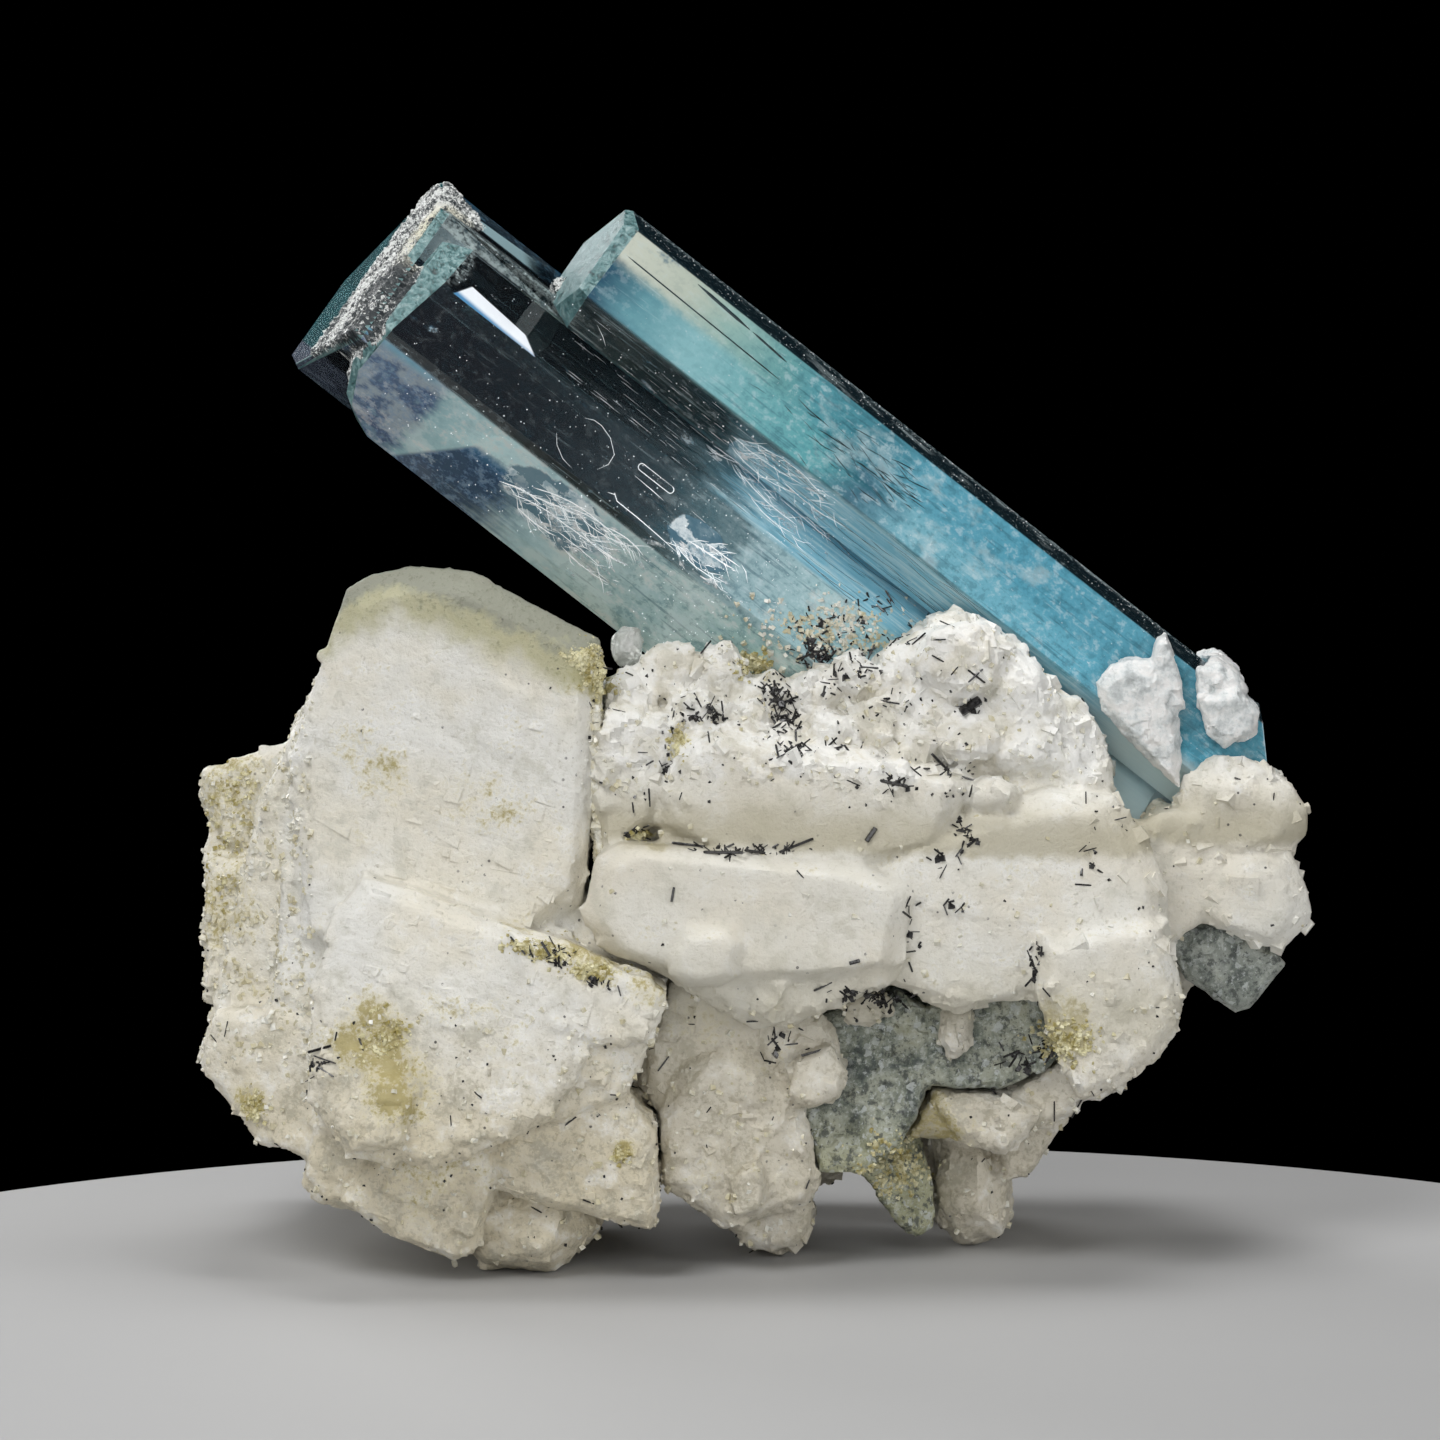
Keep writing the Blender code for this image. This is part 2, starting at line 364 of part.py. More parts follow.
BUD_SHAPES = [
    block([(18.7, 31.8), (19.5, 32.8), (20.5, 33.1), (21.8, 32.9), (23.0, 31.4), (23.5, 28.5),
           (23.3, 26.0), (22.0, 27.1), (20.5, 29.1), (19.0, 30.3)],
          front=-2.5, back=2.6, slope=(0.16, 0.04), inset=0.8, bevel=0.8, taper=1.0),
    block([(21.4, 31.4), (22.1, 34.1), (22.6, 34.3), (23.2, 32.6), (23.7, 30.2), (22.4, 30.2)],
          front=-1.7, back=3.2, slope=(0.1, 0.05), inset=0.4, bevel=0.4, taper=1.0),
    lump((20.6, -1.0, 31.2), (1.7, 1.7, 1.5), 81),
    lump((22.5, -0.9, 29.0), (0.9, 1.6, 2.4), 82),
]
KNOB_SHAPES = [
    block([(24.3, 32.4), (25.5, 32.7), (26.7, 31.9), (27.2, 31.0), (26.6, 29.8), (24.3, 30.2)],
          front=-0.4, back=8.0, slope=(0.2, 0.0), inset=0.5, bevel=0.5, taper=0.8),
    block([(24.3, 31.0), (26.6, 31.3), (27.8, 30.0), (27.6, 28.7), (25.8, 28.0), (24.8, 28.8)],
          front=-1.2, back=5.0, slope=(0.2, 0.0), inset=0.5, bevel=0.5, taper=0.9),
    lump((25.5, 0.7, 31.5), (1.1, 1.6, 1.1), 91),
    lump((26.3, 0.5, 29.5), (1.3, 1.8, 1.2), 92),
]
GRAIN_SHAPES = [lump((-7.0, -3.4, 34.0), (1.0, 1.3, 1.3), 95)]

SMOKY_SHAPES = [
    block([(1.2, 12.6), (4.8, 14.4), (7.8, 15.3), (9.2, 14.4), (9.4, 9.6), (8.0, 6.9), (5.7, 5.3),
           (3.6, 5.3), (2.4, 8.0)],
          front=-6.2, back=6.0, slope=(-0.12, 0.16), inset=0.5, bevel=0.4),
    block([(8.0, 13.6), (12.2, 15.2), (13.9, 16.0), (15.8, 15.9), (18.0, 12.2), (13.6, 9.8),
           (8.0, 10.2)],
          front=-5.9, back=5.0, slope=(0.06, 0.10), inset=0.5, bevel=0.4),
    block([(5.6, 5.1), (6.6, 8.6), (8.6, 8.6), (9.9, 3.6), (9.9, 1.5), (8.9, 1.0), (7.9, 1.7),
           (7.1, 2.9)],
          front=-2.8, back=2.6, slope=(0.16, 0.06), inset=0.5, bevel=0.5, taper=0.8),
]
POINT_SHAPES = [
    block([(22.6, 17.7), (23.7, 18.6), (27.6, 18.0), (29.3, 16.0), (27.3, 13.5), (26.5, 13.3),
           (24.6, 14.8), (23.7, 15.3)],
          front=-1.6, back=5.4, slope=(0.14, -0.05), inset=0.5, bevel=0.4, taper=0.8),
]


# ---------------------------------------------------------------- joining and cutting
def temporary(shapes, collection_name, grow=0.0):
    """A hidden collection with one object for each convex shape, for a Boolean to read."""
    collection = bpy.data.collections.new(collection_name)
    for points in shapes:
        made = hull(points, grow)
        mesh = bpy.data.meshes.new(collection_name)
        made.to_mesh(mesh)
        made.free()
        collection.objects.link(bpy.data.objects.new(collection_name, mesh))
    return collection


def boolean(target, operation, collection):
    modifier = target.modifiers.new(operation.title(), "BOOLEAN")
    modifier.operation = operation
    modifier.operand_type = "COLLECTION"
    modifier.collection = collection
    modifier.solver = "EXACT"


def drop(collection):
    for helper in list(collection.objects):
        mesh = helper.data
        bpy.data.objects.remove(helper)
        bpy.data.meshes.remove(mesh)
    bpy.data.collections.remove(collection)


def keep_largest(made):
    """Drops the loose chips that a cut leaves."""
    left = set(made.verts)
    islands = []
    while left:
        island = set()
        stack = [left.pop()]
        while stack:
            v = stack.pop()
            island.add(v)
            near = {e.other_vert(v) for e in v.link_edges} & left
            left -= near
            stack.extend(near)
        islands.append(island)
    islands.sort(key=len)
    chips = [v for island in islands[:-1] for v in island]
    bmesh.ops.delete(made, geom=chips, context="VERTS")


def below_floor():
    """A box that cuts everything under the surface that the specimen stands on."""
    return [Vector((x, y, z)) for x in (-REACH, REACH) for y in (-REACH, REACH) for z in (-REACH, FLOOR)]


def finish(name):
    colour, roughness, transmission = FINISHES[name]
    material = bpy.data.materials.new(name)
    material.use_nodes = True
    shader = material.node_tree.nodes["Principled BSDF"]
    shader.inputs["Base Color"].default_value = (*colour, 1.0)
    shader.inputs["Roughness"].default_value = roughness
    shader.inputs["Transmission Weight"].default_value = transmission
    material.diffuse_color = (*colour, 1.0)
    return material


def solid(name, shapes, cutters=()):
    """One named object: its shapes joined into one closed body, then cut by each cutter's shapes."""
    parts = temporary(shapes[1:], name + "_parts")
    cuts = [temporary(cut, name + "_cut", GAP) for cut in cutters]
    cuts.append(temporary([below_floor()], name + "_floor"))
    first = hull(shapes[0])
    mesh = bpy.data.meshes.new(name)
    first.to_mesh(mesh)
    first.free()
    made = bpy.data.objects.new(name, mesh)
    bpy.context.scene.collection.objects.link(made)
    if len(shapes) > 1:
        boolean(made, "UNION", parts)
    for cut in cuts:
        boolean(made, "DIFFERENCE", cut)
    evaluated = made.evaluated_get(bpy.context.evaluated_depsgraph_get())
    result = bmesh.new()
    result.from_mesh(evaluated.to_mesh())
    made.modifiers.clear()
    for helper in [parts, *cuts]:
        drop(helper)
    bmesh.ops.remove_doubles(result, verts=result.verts, dist=WELD)
    keep_largest(result)
    bmesh.ops.triangulate(result, faces=result.faces)
    result.transform(Matrix.Scale(MM, 4))
    result.to_mesh(mesh)
    result.free()
    mesh.materials.append(finish(name))
    mesh.shade_flat()
    return made


def clear_scene():
    for old in list(bpy.data.objects):
        bpy.data.objects.remove(old)


def centre_on_base(objects):
    """Hangs every piece on one empty, and moves that so that the origin is the centre of the base."""
    corners = [made.matrix_world @ v.co for made in objects for v in made.data.vertices]
    low = [min(c[i] for c in corners) for i in range(3)]
    high = [max(c[i] for c in corners) for i in range(3)]
    specimen = bpy.data.objects.new("specimen", None)
    bpy.context.scene.collection.objects.link(specimen)
    specimen.location = (-(low[0] + high[0]) / 2, -(low[1] + high[1]) / 2, -low[2])
    for made in objects:
        made.parent = specimen


def main():
    clear_scene()
    around_spar = [AQUAMARINE_SHAPES, FELDSPAR_SHAPES]
    around_albite = [*around_spar, SMOKY_SHAPES, POINT_SHAPES, GRAIN_SHAPES]
    pieces = [
        solid("aquamarine", AQUAMARINE_SHAPES),
        solid("feldspar_blocks", FELDSPAR_SHAPES, [AQUAMARINE_SHAPES]),
        solid("smoky_quartz", SMOKY_SHAPES, around_spar),
        solid("quartz_point", POINT_SHAPES, [AQUAMARINE_SHAPES]),
        solid("quartz_grain", GRAIN_SHAPES, around_spar),
        solid("albite_mass", ALBITE_SHAPES, around_albite),
        solid("albite_bud", BUD_SHAPES, [AQUAMARINE_SHAPES]),
        solid("albite_knob", KNOB_SHAPES, [AQUAMARINE_SHAPES]),
    ]
    bpy.context.view_layer.update()
    centre_on_base(pieces)


main()
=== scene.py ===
"""The looks of an aquamarine crystal group on its white feldspar and albite matrix.

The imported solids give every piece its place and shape. The crystal gets its clear and milky glass,
a sugary crust and inclusions. The matrix gets stone relief, sugar grains and black needles.
Lengths in the code are millimetres unless a name says otherwise; meshes are stored in metres.
"""

import itertools
import math
import random

import bmesh
import bpy
import numpy as np
from mathutils import Matrix, Vector, noise
from mathutils.bvhtree import BVHTree


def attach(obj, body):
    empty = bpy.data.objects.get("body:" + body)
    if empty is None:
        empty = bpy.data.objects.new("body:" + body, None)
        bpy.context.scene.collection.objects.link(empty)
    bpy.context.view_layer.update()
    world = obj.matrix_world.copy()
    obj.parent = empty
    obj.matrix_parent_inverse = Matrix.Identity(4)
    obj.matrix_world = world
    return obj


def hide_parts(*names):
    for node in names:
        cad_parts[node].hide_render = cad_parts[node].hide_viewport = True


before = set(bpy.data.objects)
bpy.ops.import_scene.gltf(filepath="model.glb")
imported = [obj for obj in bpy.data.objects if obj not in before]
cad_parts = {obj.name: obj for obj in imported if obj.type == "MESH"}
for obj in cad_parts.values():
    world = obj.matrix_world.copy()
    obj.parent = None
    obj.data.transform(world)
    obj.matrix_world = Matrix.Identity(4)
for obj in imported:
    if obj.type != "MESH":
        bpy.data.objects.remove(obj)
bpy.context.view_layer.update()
MM = 0.001
LOWEST = 0.02  # millimetres above the floor, for the lowest points of the meshes
CRISP = math.radians(32.0)  # edges of the stones that turn more than this stay sharp
STONE_VOXEL = 0.2
SMALL_VOXEL = 0.12
MOST_TRIANGLES = 190000  # in one stone
BERYL_IOR = 1.577
QUARTZ_IOR = 1.544
ALBITE_IOR = 1.53

# ---------------------------------------------------------------- where the front view is taken from
TILT = math.radians(8.0)
EYE_DISTANCE = 700.0
VIEW_WIDTH = 79.2
EYE_LEVEL = Vector((-1.9, -1.46, 29.47))
UPWARD = Vector((0.0, math.sin(TILT), math.cos(TILT)))
EYE = EYE_LEVEL + Vector((0.0, -math.cos(TILT), math.sin(TILT))) * EYE_DISTANCE

# Big needles, as (right, up, turn in degrees, length, width) about the middle of the front view.
BIG_NEEDLES = [
    (-1.7, -6.9, -14.0, 1.9, 0.16), (0.2, -7.3, -6.0, 2.2, 0.17), (2.2, -7.3, 8.0, 2.2, 0.18),
    (4.2, -6.9, 22.0, 2.0, 0.16), (8.3, -6.3, 55.0, 0.9, 0.28), (12.4, -2.7, -18.0, 2.3, 0.16),
    (9.6, -3.5, -15.0, 1.7, 0.20), (13.8, 0.7, 35.0, 1.3, 0.55), (14.0, 2.4, 40.0, 1.2, 0.12),
    (14.1, 2.4, -35.0, 1.2, 0.12), (12.1, 3.3, -25.0, 1.1, 0.10), (-11.1, -12.4, -42.0, 1.3, 0.12),
    (-9.6, -12.6, -60.0, 0.9, 0.16), (-22.0, -18.1, 12.0, 1.4, 0.16), (5.2, -18.3, 30.0, 1.5, 0.14),
    (-2.6, -9.6, 80.0, 0.8, 0.14), (7.4, -13.3, 15.0, 0.6, 0.22), (5.0, 3.6, 20.0, 1.8, 0.14),
]
# The front end of the joint between the two stones: x at 24 mm up, and how x changes with each mm above that.
JOINT = (-8.45, -0.03)
# Clumps of needles, as (right, up, width, height, count).
NEEDLE_CLUMPS = [
    (5.3, 3.7, 1.5, 1.0, 60), (7.1, 3.1, 2.2, 1.6, 46), (3.0, 1.6, 0.9, 1.4, 40), (3.6, 0.2, 1.1, 1.8, 60),
    (4.2, -1.6, 1.2, 0.9, 40), (-0.2, 0.4, 0.9, 0.7, 20), (-1.6, 0.4, 1.2, 0.8, 10), (6.2, -1.4, 1.0, 0.9, 9),
    (13.8, 0.7, 0.6, 0.5, 16), (12.2, -2.8, 2.0, 0.4, 18), (9.6, -3.4, 1.2, 0.4, 10), (13.5, -6.3, 0.8, 1.4, 26),
    (1.2, -7.2, 4.0, 0.35, 46), (-4.6, -6.2, 0.9, 0.5, 14), (8.4, -15.2, 2.6, 0.9, 60), (17.3, -13.4, 0.6, 2.2, 16),
    (10.6, -11.8, 0.6, 2.6, 12), (12.9, -10.2, 1.2, 0.6, 6), (12.0, -7.5, 1.2, 0.6, 8), (-3.0, -2.4, 0.5, 1.6, 9),
    (-22.2, -19.0, 1.2, 0.8, 14), (-9.0, -13.0, 2.0, 0.7, 20), (17.0, -18.5, 2.2, 1.2, 26), (3.4, -17.9, 2.0, 1.0, 14),
    (10.6, 5.0, 1.6, 1.4, 8), (6.0, 5.3, 3.4, 1.1, 34), (9.0, 6.4, 1.6, 0.8, 10), (9.0, 0.8, 2.4, 2.0, 14),
    (-6.6, -14.4, 1.4, 0.6, 10), (20.4, -7.5, 1.2, 2.4, 10),
]
# Ochre stains in the stones, as (place, radius, strength).
FELDSPAR_STAINS = [
    ((-20.6, -14.7, 13.8), 3.0, 0.95), ((-19.2, -16.1, 11.6), 3.0, 0.85), ((-14.5, -16.0, 15.0), 2.6, 0.4),
    ((-17.6, -14.5, 15.4), 2.2, 0.35), ((-7.1, -12.6, 7.4), 0.8, 1.0), ((-27.6, -9.3, 9.6), 1.1, 0.9),
    ((-8.4, -9.3, 33.6), 2.6, 1.0), ((-6.9, -9.0, 32.6), 2.4, 1.4), ((-12.8, -12.4, 19.5), 1.6, 0.7),
    ((-8.9, -13.0, 18.2), 2.4, 0.9), ((-5.4, -13.3, 16.6), 1.8, 0.8), ((-22.0, -10.4, 29.1), 1.7, 0.5),
    ((-22.3, -10.6, 24.4), 1.4, 0.4), ((-20.2, -11.0, 27.8), 2.2, 0.55), ((-14.0, -11.4, 26.6), 3.4, 0.38),
    ((-28.8, -2.4, 25.2), 4.0, 0.6), ((-29.1, -3.9, 19.8), 4.0, 0.6), ((-18.2, -12.7, 6.3), 4.5, 0.35),
    ((-23.0, -14.8, 12.8), 2.5, 0.3), ((2.0, 12.0, 20.0), 6.0, 0.4), ((-20.0, 12.0, 22.0), 5.0, 0.4),
]
ALBITE_STAINS = [
    ((16.6, -11.6, 13.9), 2.4, 1.0), ((9.6, -6.7, 7.5), 3.2, 0.9), ((-5.4, -11.2, 24.0), 1.0, 0.8),
    ((-4.1, -9.4, 29.5), 0.8, 0.8), ((-3.0, -8.8, 14.0), 2.0, 0.5), ((0.3, -8.6, 11.7), 2.2, 0.3),
    ((1.8, -4.4, 33.4), 1.6, 1.0), ((-0.8, -10.5, 5.4), 3.0, 0.3), ((14.0, 14.0, 18.0), 6.0, 0.4),
]
# Clumps of ochre grains, as (right, up, width, height, count).
OCHRE_CLUMPS = [
    (-6.6, 3.2, 1.4, 1.6, 190), (1.8, 3.2, 1.3, 0.9, 110), (-6.4, 2.4, 1.0, 1.2, 120), (-7.6, 3.6, 1.2, 0.6, 80),
    (-10.0, -12.2, 2.2, 0.7, 140), (-6.4, -13.6, 2.4, 0.6, 110), (-8.6, -12.8, 2.2, 0.5, 70),
    (-2.2, -1.1, 0.8, 0.9, 60), (-4.2, -6.4, 1.0, 0.5, 70), (-18.6, -17.4, 2.0, 2.4, 50),
    (-5.4, -23.8, 0.6, 0.5, 24), (19.0, -17.6, 2.2, 1.6, 110), (9.6, -24.5, 2.6, 2.4, 120),
    (-25.5, -21.2, 0.8, 1.2, 40), (-26.6, -3.4, 1.8, 4.0, 50), (-27.4, -8.0, 1.6, 4.0, 40),
]

# ---------------------------------------------------------------- the crystal group's own directions
RISE = math.radians(38.6)
TOWARD = math.radians(6.4)
FACING = math.radians(8.0)
TIP = Vector((-13.8, 4.6 - 1.46, 62.6))


def crystal_axes():
    """Across is up and to the right, forward is to the show side, and along is to the tip."""
    along = Vector(
        (-math.cos(RISE) * math.cos(TOWARD), -math.cos(RISE) * math.sin(TOWARD), math.sin(RISE))
    )
    facing = Vector((0.0, -math.cos(FACING), math.sin(FACING)))
    forward = (facing - along * facing.dot(along)).normalized()
    return along.cross(forward), forward, along


ACROSS, FORWARD, ALONG = crystal_axes()


def in_crystal(across, forward, along):
    return TIP + ACROSS * across + FORWARD * forward + ALONG * along


def frame_of(first, third):
    """Three unit directions: the first, one square to both, and the third squared to the first."""
    first = Vector(first).normalized()
    second = Vector(third).cross(first).normalized()
    return first, second, first.cross(second)


# The cleavage directions of the feldspar blocks and of the albite slabs.
FELDSPAR_AXES = frame_of((0.95, -0.05, -0.31), (0.31, 0.10, 0.945))
ALBITE_AXES = frame_of((0.98, -0.05, -0.17), (0.17, -0.15, 0.97))


# ---------------------------------------------------------------- shader wiring
def operator(operation, flipped=False):
    """A Math node as a Python operator."""

    def apply(wire, other):
        ends = (other, wire) if flipped else (wire, other)
        return wire.recipe.add("ShaderNodeMath", {"operation": operation}, dict(enumerate(ends)))

    return apply


class Wire:
    """A node's output. Arithmetic on it adds the Math nodes."""

    def __init__(self, recipe, socket):
        self.recipe = recipe
        self.socket = socket

    __add__ = __radd__ = operator("ADD")
    __sub__ = operator("SUBTRACT")
    __rsub__ = operator("SUBTRACT", flipped=True)
    __mul__ = __rmul__ = operator("MULTIPLY")
    __truediv__ = operator("DIVIDE")
    either = operator("MAXIMUM")
    both = operator("MINIMUM")

    def step(self, low, high):
        """0 below low, 1 above high, and a smooth rise between. high may be the lower number."""
        start, end = (1.0, 0.0) if high < low else (0.0, 1.0)
        ends = {"From Min": min(low, high), "From Max": max(low, high), "To Min": start, "To Max": end}
        settings = {"interpolation_type": "SMOOTHSTEP"}
        return self.recipe.add("ShaderNodeMapRange", settings, {"Value": self, **ends})


class Recipe:
    """One material and its nodes."""

    def __init__(self, name):
        self.material = bpy.data.materials.new(name)
        self.material.use_nodes = True
        self.tree = self.material.node_tree
        self.tree.nodes.clear()
        self.output = self.tree.nodes.new("ShaderNodeOutputMaterial")

    def add(self, kind, settings, sockets, out=0):
        """One node: its settings first, then a value or a link for each of its sockets."""
        node = self.tree.nodes.new(kind)
        for name, value in settings.items():
            setattr(node, name, value)
        for key, value in sockets.items():
            self.join(value, node.inputs[key])
        return Wire(self, node.outputs[out])

    def join(self, value, socket):
        if isinstance(value, Wire):
            self.tree.links.new(value.socket, socket)
        elif isinstance(value, tuple) and socket.type == "RGBA":
            socket.default_value = (*value, 1.0)
        else:
            socket.default_value = value

    def ramp(self, along, stops):
        """Colours by a number, from (number, colour) stops."""
        made = self.add("ShaderNodeValToRGB", {}, {0: along})
        points = made.socket.node.color_ramp.elements
        for place, (at, colour) in enumerate(stops):
            point = points.new(at) if place else points[0]
            point.position = at
            point.color = (*colour, 1.0)
        points.remove(points[len(stops)])
        return made

    def vector(self, operation, sockets, out=0):
        return self.add("ShaderNodeVectorMath", {"operation": operation}, sockets, out)

    def place(self):
        """The point on the object, in millimetres."""
        point = self.add("ShaderNodeTexCoord", {}, {}, out=3)
        return self.vector("SCALE", {0: point, "Scale": 1 / MM})

    def dot(self, vector, direction):
        return self.vector("DOT_PRODUCT", {0: vector, 1: tuple(direction)}, 1)

    def shift(self, vector, by):
        return self.vector("ADD", {0: vector, 1: by})

    def bundle(self, x, y, z):
        return self.add("ShaderNodeCombineXYZ", {}, {0: x, 1: y, 2: z})

    def cloud(self, vector, scale, detail=4.0, rough=0.55, warp=0.0):
        """Fractal noise from 0 to 1."""
        sockets = {"Vector": vector, "Scale": scale, "Detail": detail, "Roughness": rough}
        return self.add("ShaderNodeTexNoise", {}, {**sockets, "Distortion": warp})

    def cells(self, vector, scale, out=1):
        """A cell pattern: one tone for each cell, or with out=0 the distance from its middle."""
        return self.add("ShaderNodeTexVoronoi", {}, {"Vector": vector, "Scale": scale}, out)

    def bent(self, vector, amount, scale):
        """The same place moved by up to amount millimetres of noise."""
        sockets = {"Vector": vector, "Scale": scale, "Detail": 3.0}
        centred = self.shift(self.add("ShaderNodeTexNoise", {}, sockets, 1), (-0.5, -0.5, -0.5))
        return self.shift(vector, self.vector("SCALE", {0: centred, "Scale": 2 * amount}))

    def blend(self, factor, first, second):
        """first where factor is 0 and second where it is 1."""
        settings = {"data_type": "RGBA", "blend_type": "MIX"}
        return self.add("ShaderNodeMix", settings, {0: factor, 6: first, 7: second}, out=2)

    def paint(self, colour, *coats):
        """A colour under coats of (mask, colour), each over those before it."""
        for mask, coat in coats:
            colour = self.blend(mask, colour, coat)
        return colour

    def near(self, point, centre, radius):
        """1 at the centre, falling to 0 at the radius."""
        gap = self.vector("DISTANCE", {0: point, 1: tuple(centre)}, 1)
        return gap.step(radius, radius * 0.25)

    def bump(self, height, depth, strength=0.9):
        """Relief from a height of 0 to 1, as deep as depth."""
        return self.add("ShaderNodeBump", {}, {"Strength": strength, "Distance": depth * MM, "Height": height})

    def gloss(self, colour, roughness, ior, relief=None, clear=0.0, **more):
        """A plain or, with clear=1, a see-through surface."""
        sockets = {"Base Color": colour, "Roughness": roughness, "IOR": ior, "Transmission Weight": clear, **more}
        if relief:
            sockets["Normal"] = relief
        return self.add("ShaderNodeBsdfPrincipled", {}, sockets)

    def absorb(self, colour, density):
        return self.add("ShaderNodeVolumeAbsorption", {}, {"Color": colour, "Density": density})

    def shader_mix(self, factor, first, second):
        return self.add("ShaderNodeMixShader", {}, {0: factor, 1: first, 2: second})

    def finish(self, surface, volume=None):
        self.tree.links.new(surface.socket, self.output.inputs["Surface"])
        if volume:
            self.tree.links.new(volume.socket, self.output.inputs["Volume"])
        return self.material


# ---------------------------------------------------------------- materials
# The cloudy glass's colours by their distance from the tip, in sixtieths of its length.
EDGE_UPPER = [
    (0.15, (0.66, 0.70, 0.60)), (0.22, (0.55, 0.62, 0.53)), (0.27, (0.33, 0.53, 0.49)), (0.33, (0.17, 0.41, 0.42)),
    (0.38, (0.11, 0.36, 0.42)), (0.44, (0.07, 0.25, 0.32)), (0.50, (0.13, 0.40, 0.52)), (0.62, (0.11, 0.38, 0.51)),
    (0.78, (0.12, 0.37, 0.48)),
]
EDGE_LOWER = [
    (0.14, (0.03, 0.09, 0.15)), (0.19, (0.15, 0.36, 0.42)), (0.25, (0.29, 0.56, 0.60)), (0.32, (0.20, 0.48, 0.51)),
    (0.40, (0.13, 0.42, 0.46)), (0.45, (0.08, 0.19, 0.26)), (0.51, (0.22, 0.50, 0.60)), (0.62, (0.18, 0.47, 0.59)),
    (0.78, (0.12, 0.42, 0.56)),
]
MIDDLE = [
    (0.04, (0.055, 0.06, 0.075)), (0.16, (0.065, 0.078, 0.095)), (0.30, (0.10, 0.13, 0.15)),
    (0.36, (0.20, 0.32, 0.36)), (0.41, (0.36, 0.52, 0.56)), (0.50, (0.40, 0.60, 0.63)), (0.60, (0.30, 0.54, 0.60)),
    (0.75, (0.24, 0.50, 0.60)),
]
# On the low side, the stops nearest the tip paint an internal reflection of the tip: dark violet, then a pale wedge.
LOW = [
    (0.02, (0.10, 0.17, 0.30)), (0.093, (0.05, 0.10, 0.22)), (0.105, (0.34, 0.56, 0.60)), (0.16, (0.64, 0.90, 0.92)),
    (0.24, (0.56, 0.76, 0.80)), (0.33, (0.55, 0.72, 0.72)), (0.42, (0.46, 0.66, 0.65)), (0.52, (0.42, 0.64, 0.62)),
]


def crystal_point(r):
    """The three coordinates of the crystal's frame: across, forward and the depth from the tip."""
    p = r.shift(r.place(), tuple(-TIP))
    return r.dot(p, ACROSS), r.dot(p, FORWARD), r.dot(p, -ALONG)


def beyond(across, depth, first, second, soft):
    """1 on the left of the line from first to second, in (across, depth), and 0 on its right."""
    (u0, d0), (u1, d1) = first, second
    reach = math.hypot(u1 - u0, d1 - d0)
    side = (across - u0) * ((d1 - d0) / reach) - (depth - d0) * ((u1 - u0) / reach)
    return side.step(soft, -soft)


def patch(across, depth, middle, size):
    """1 inside an oval, in (across, depth), fading to 0 at its edge."""
    u = (across - middle[0]) / size[0]
    d = (depth - middle[1]) / size[1]
    return (u * u + d * d).step(1.0, 0.25)


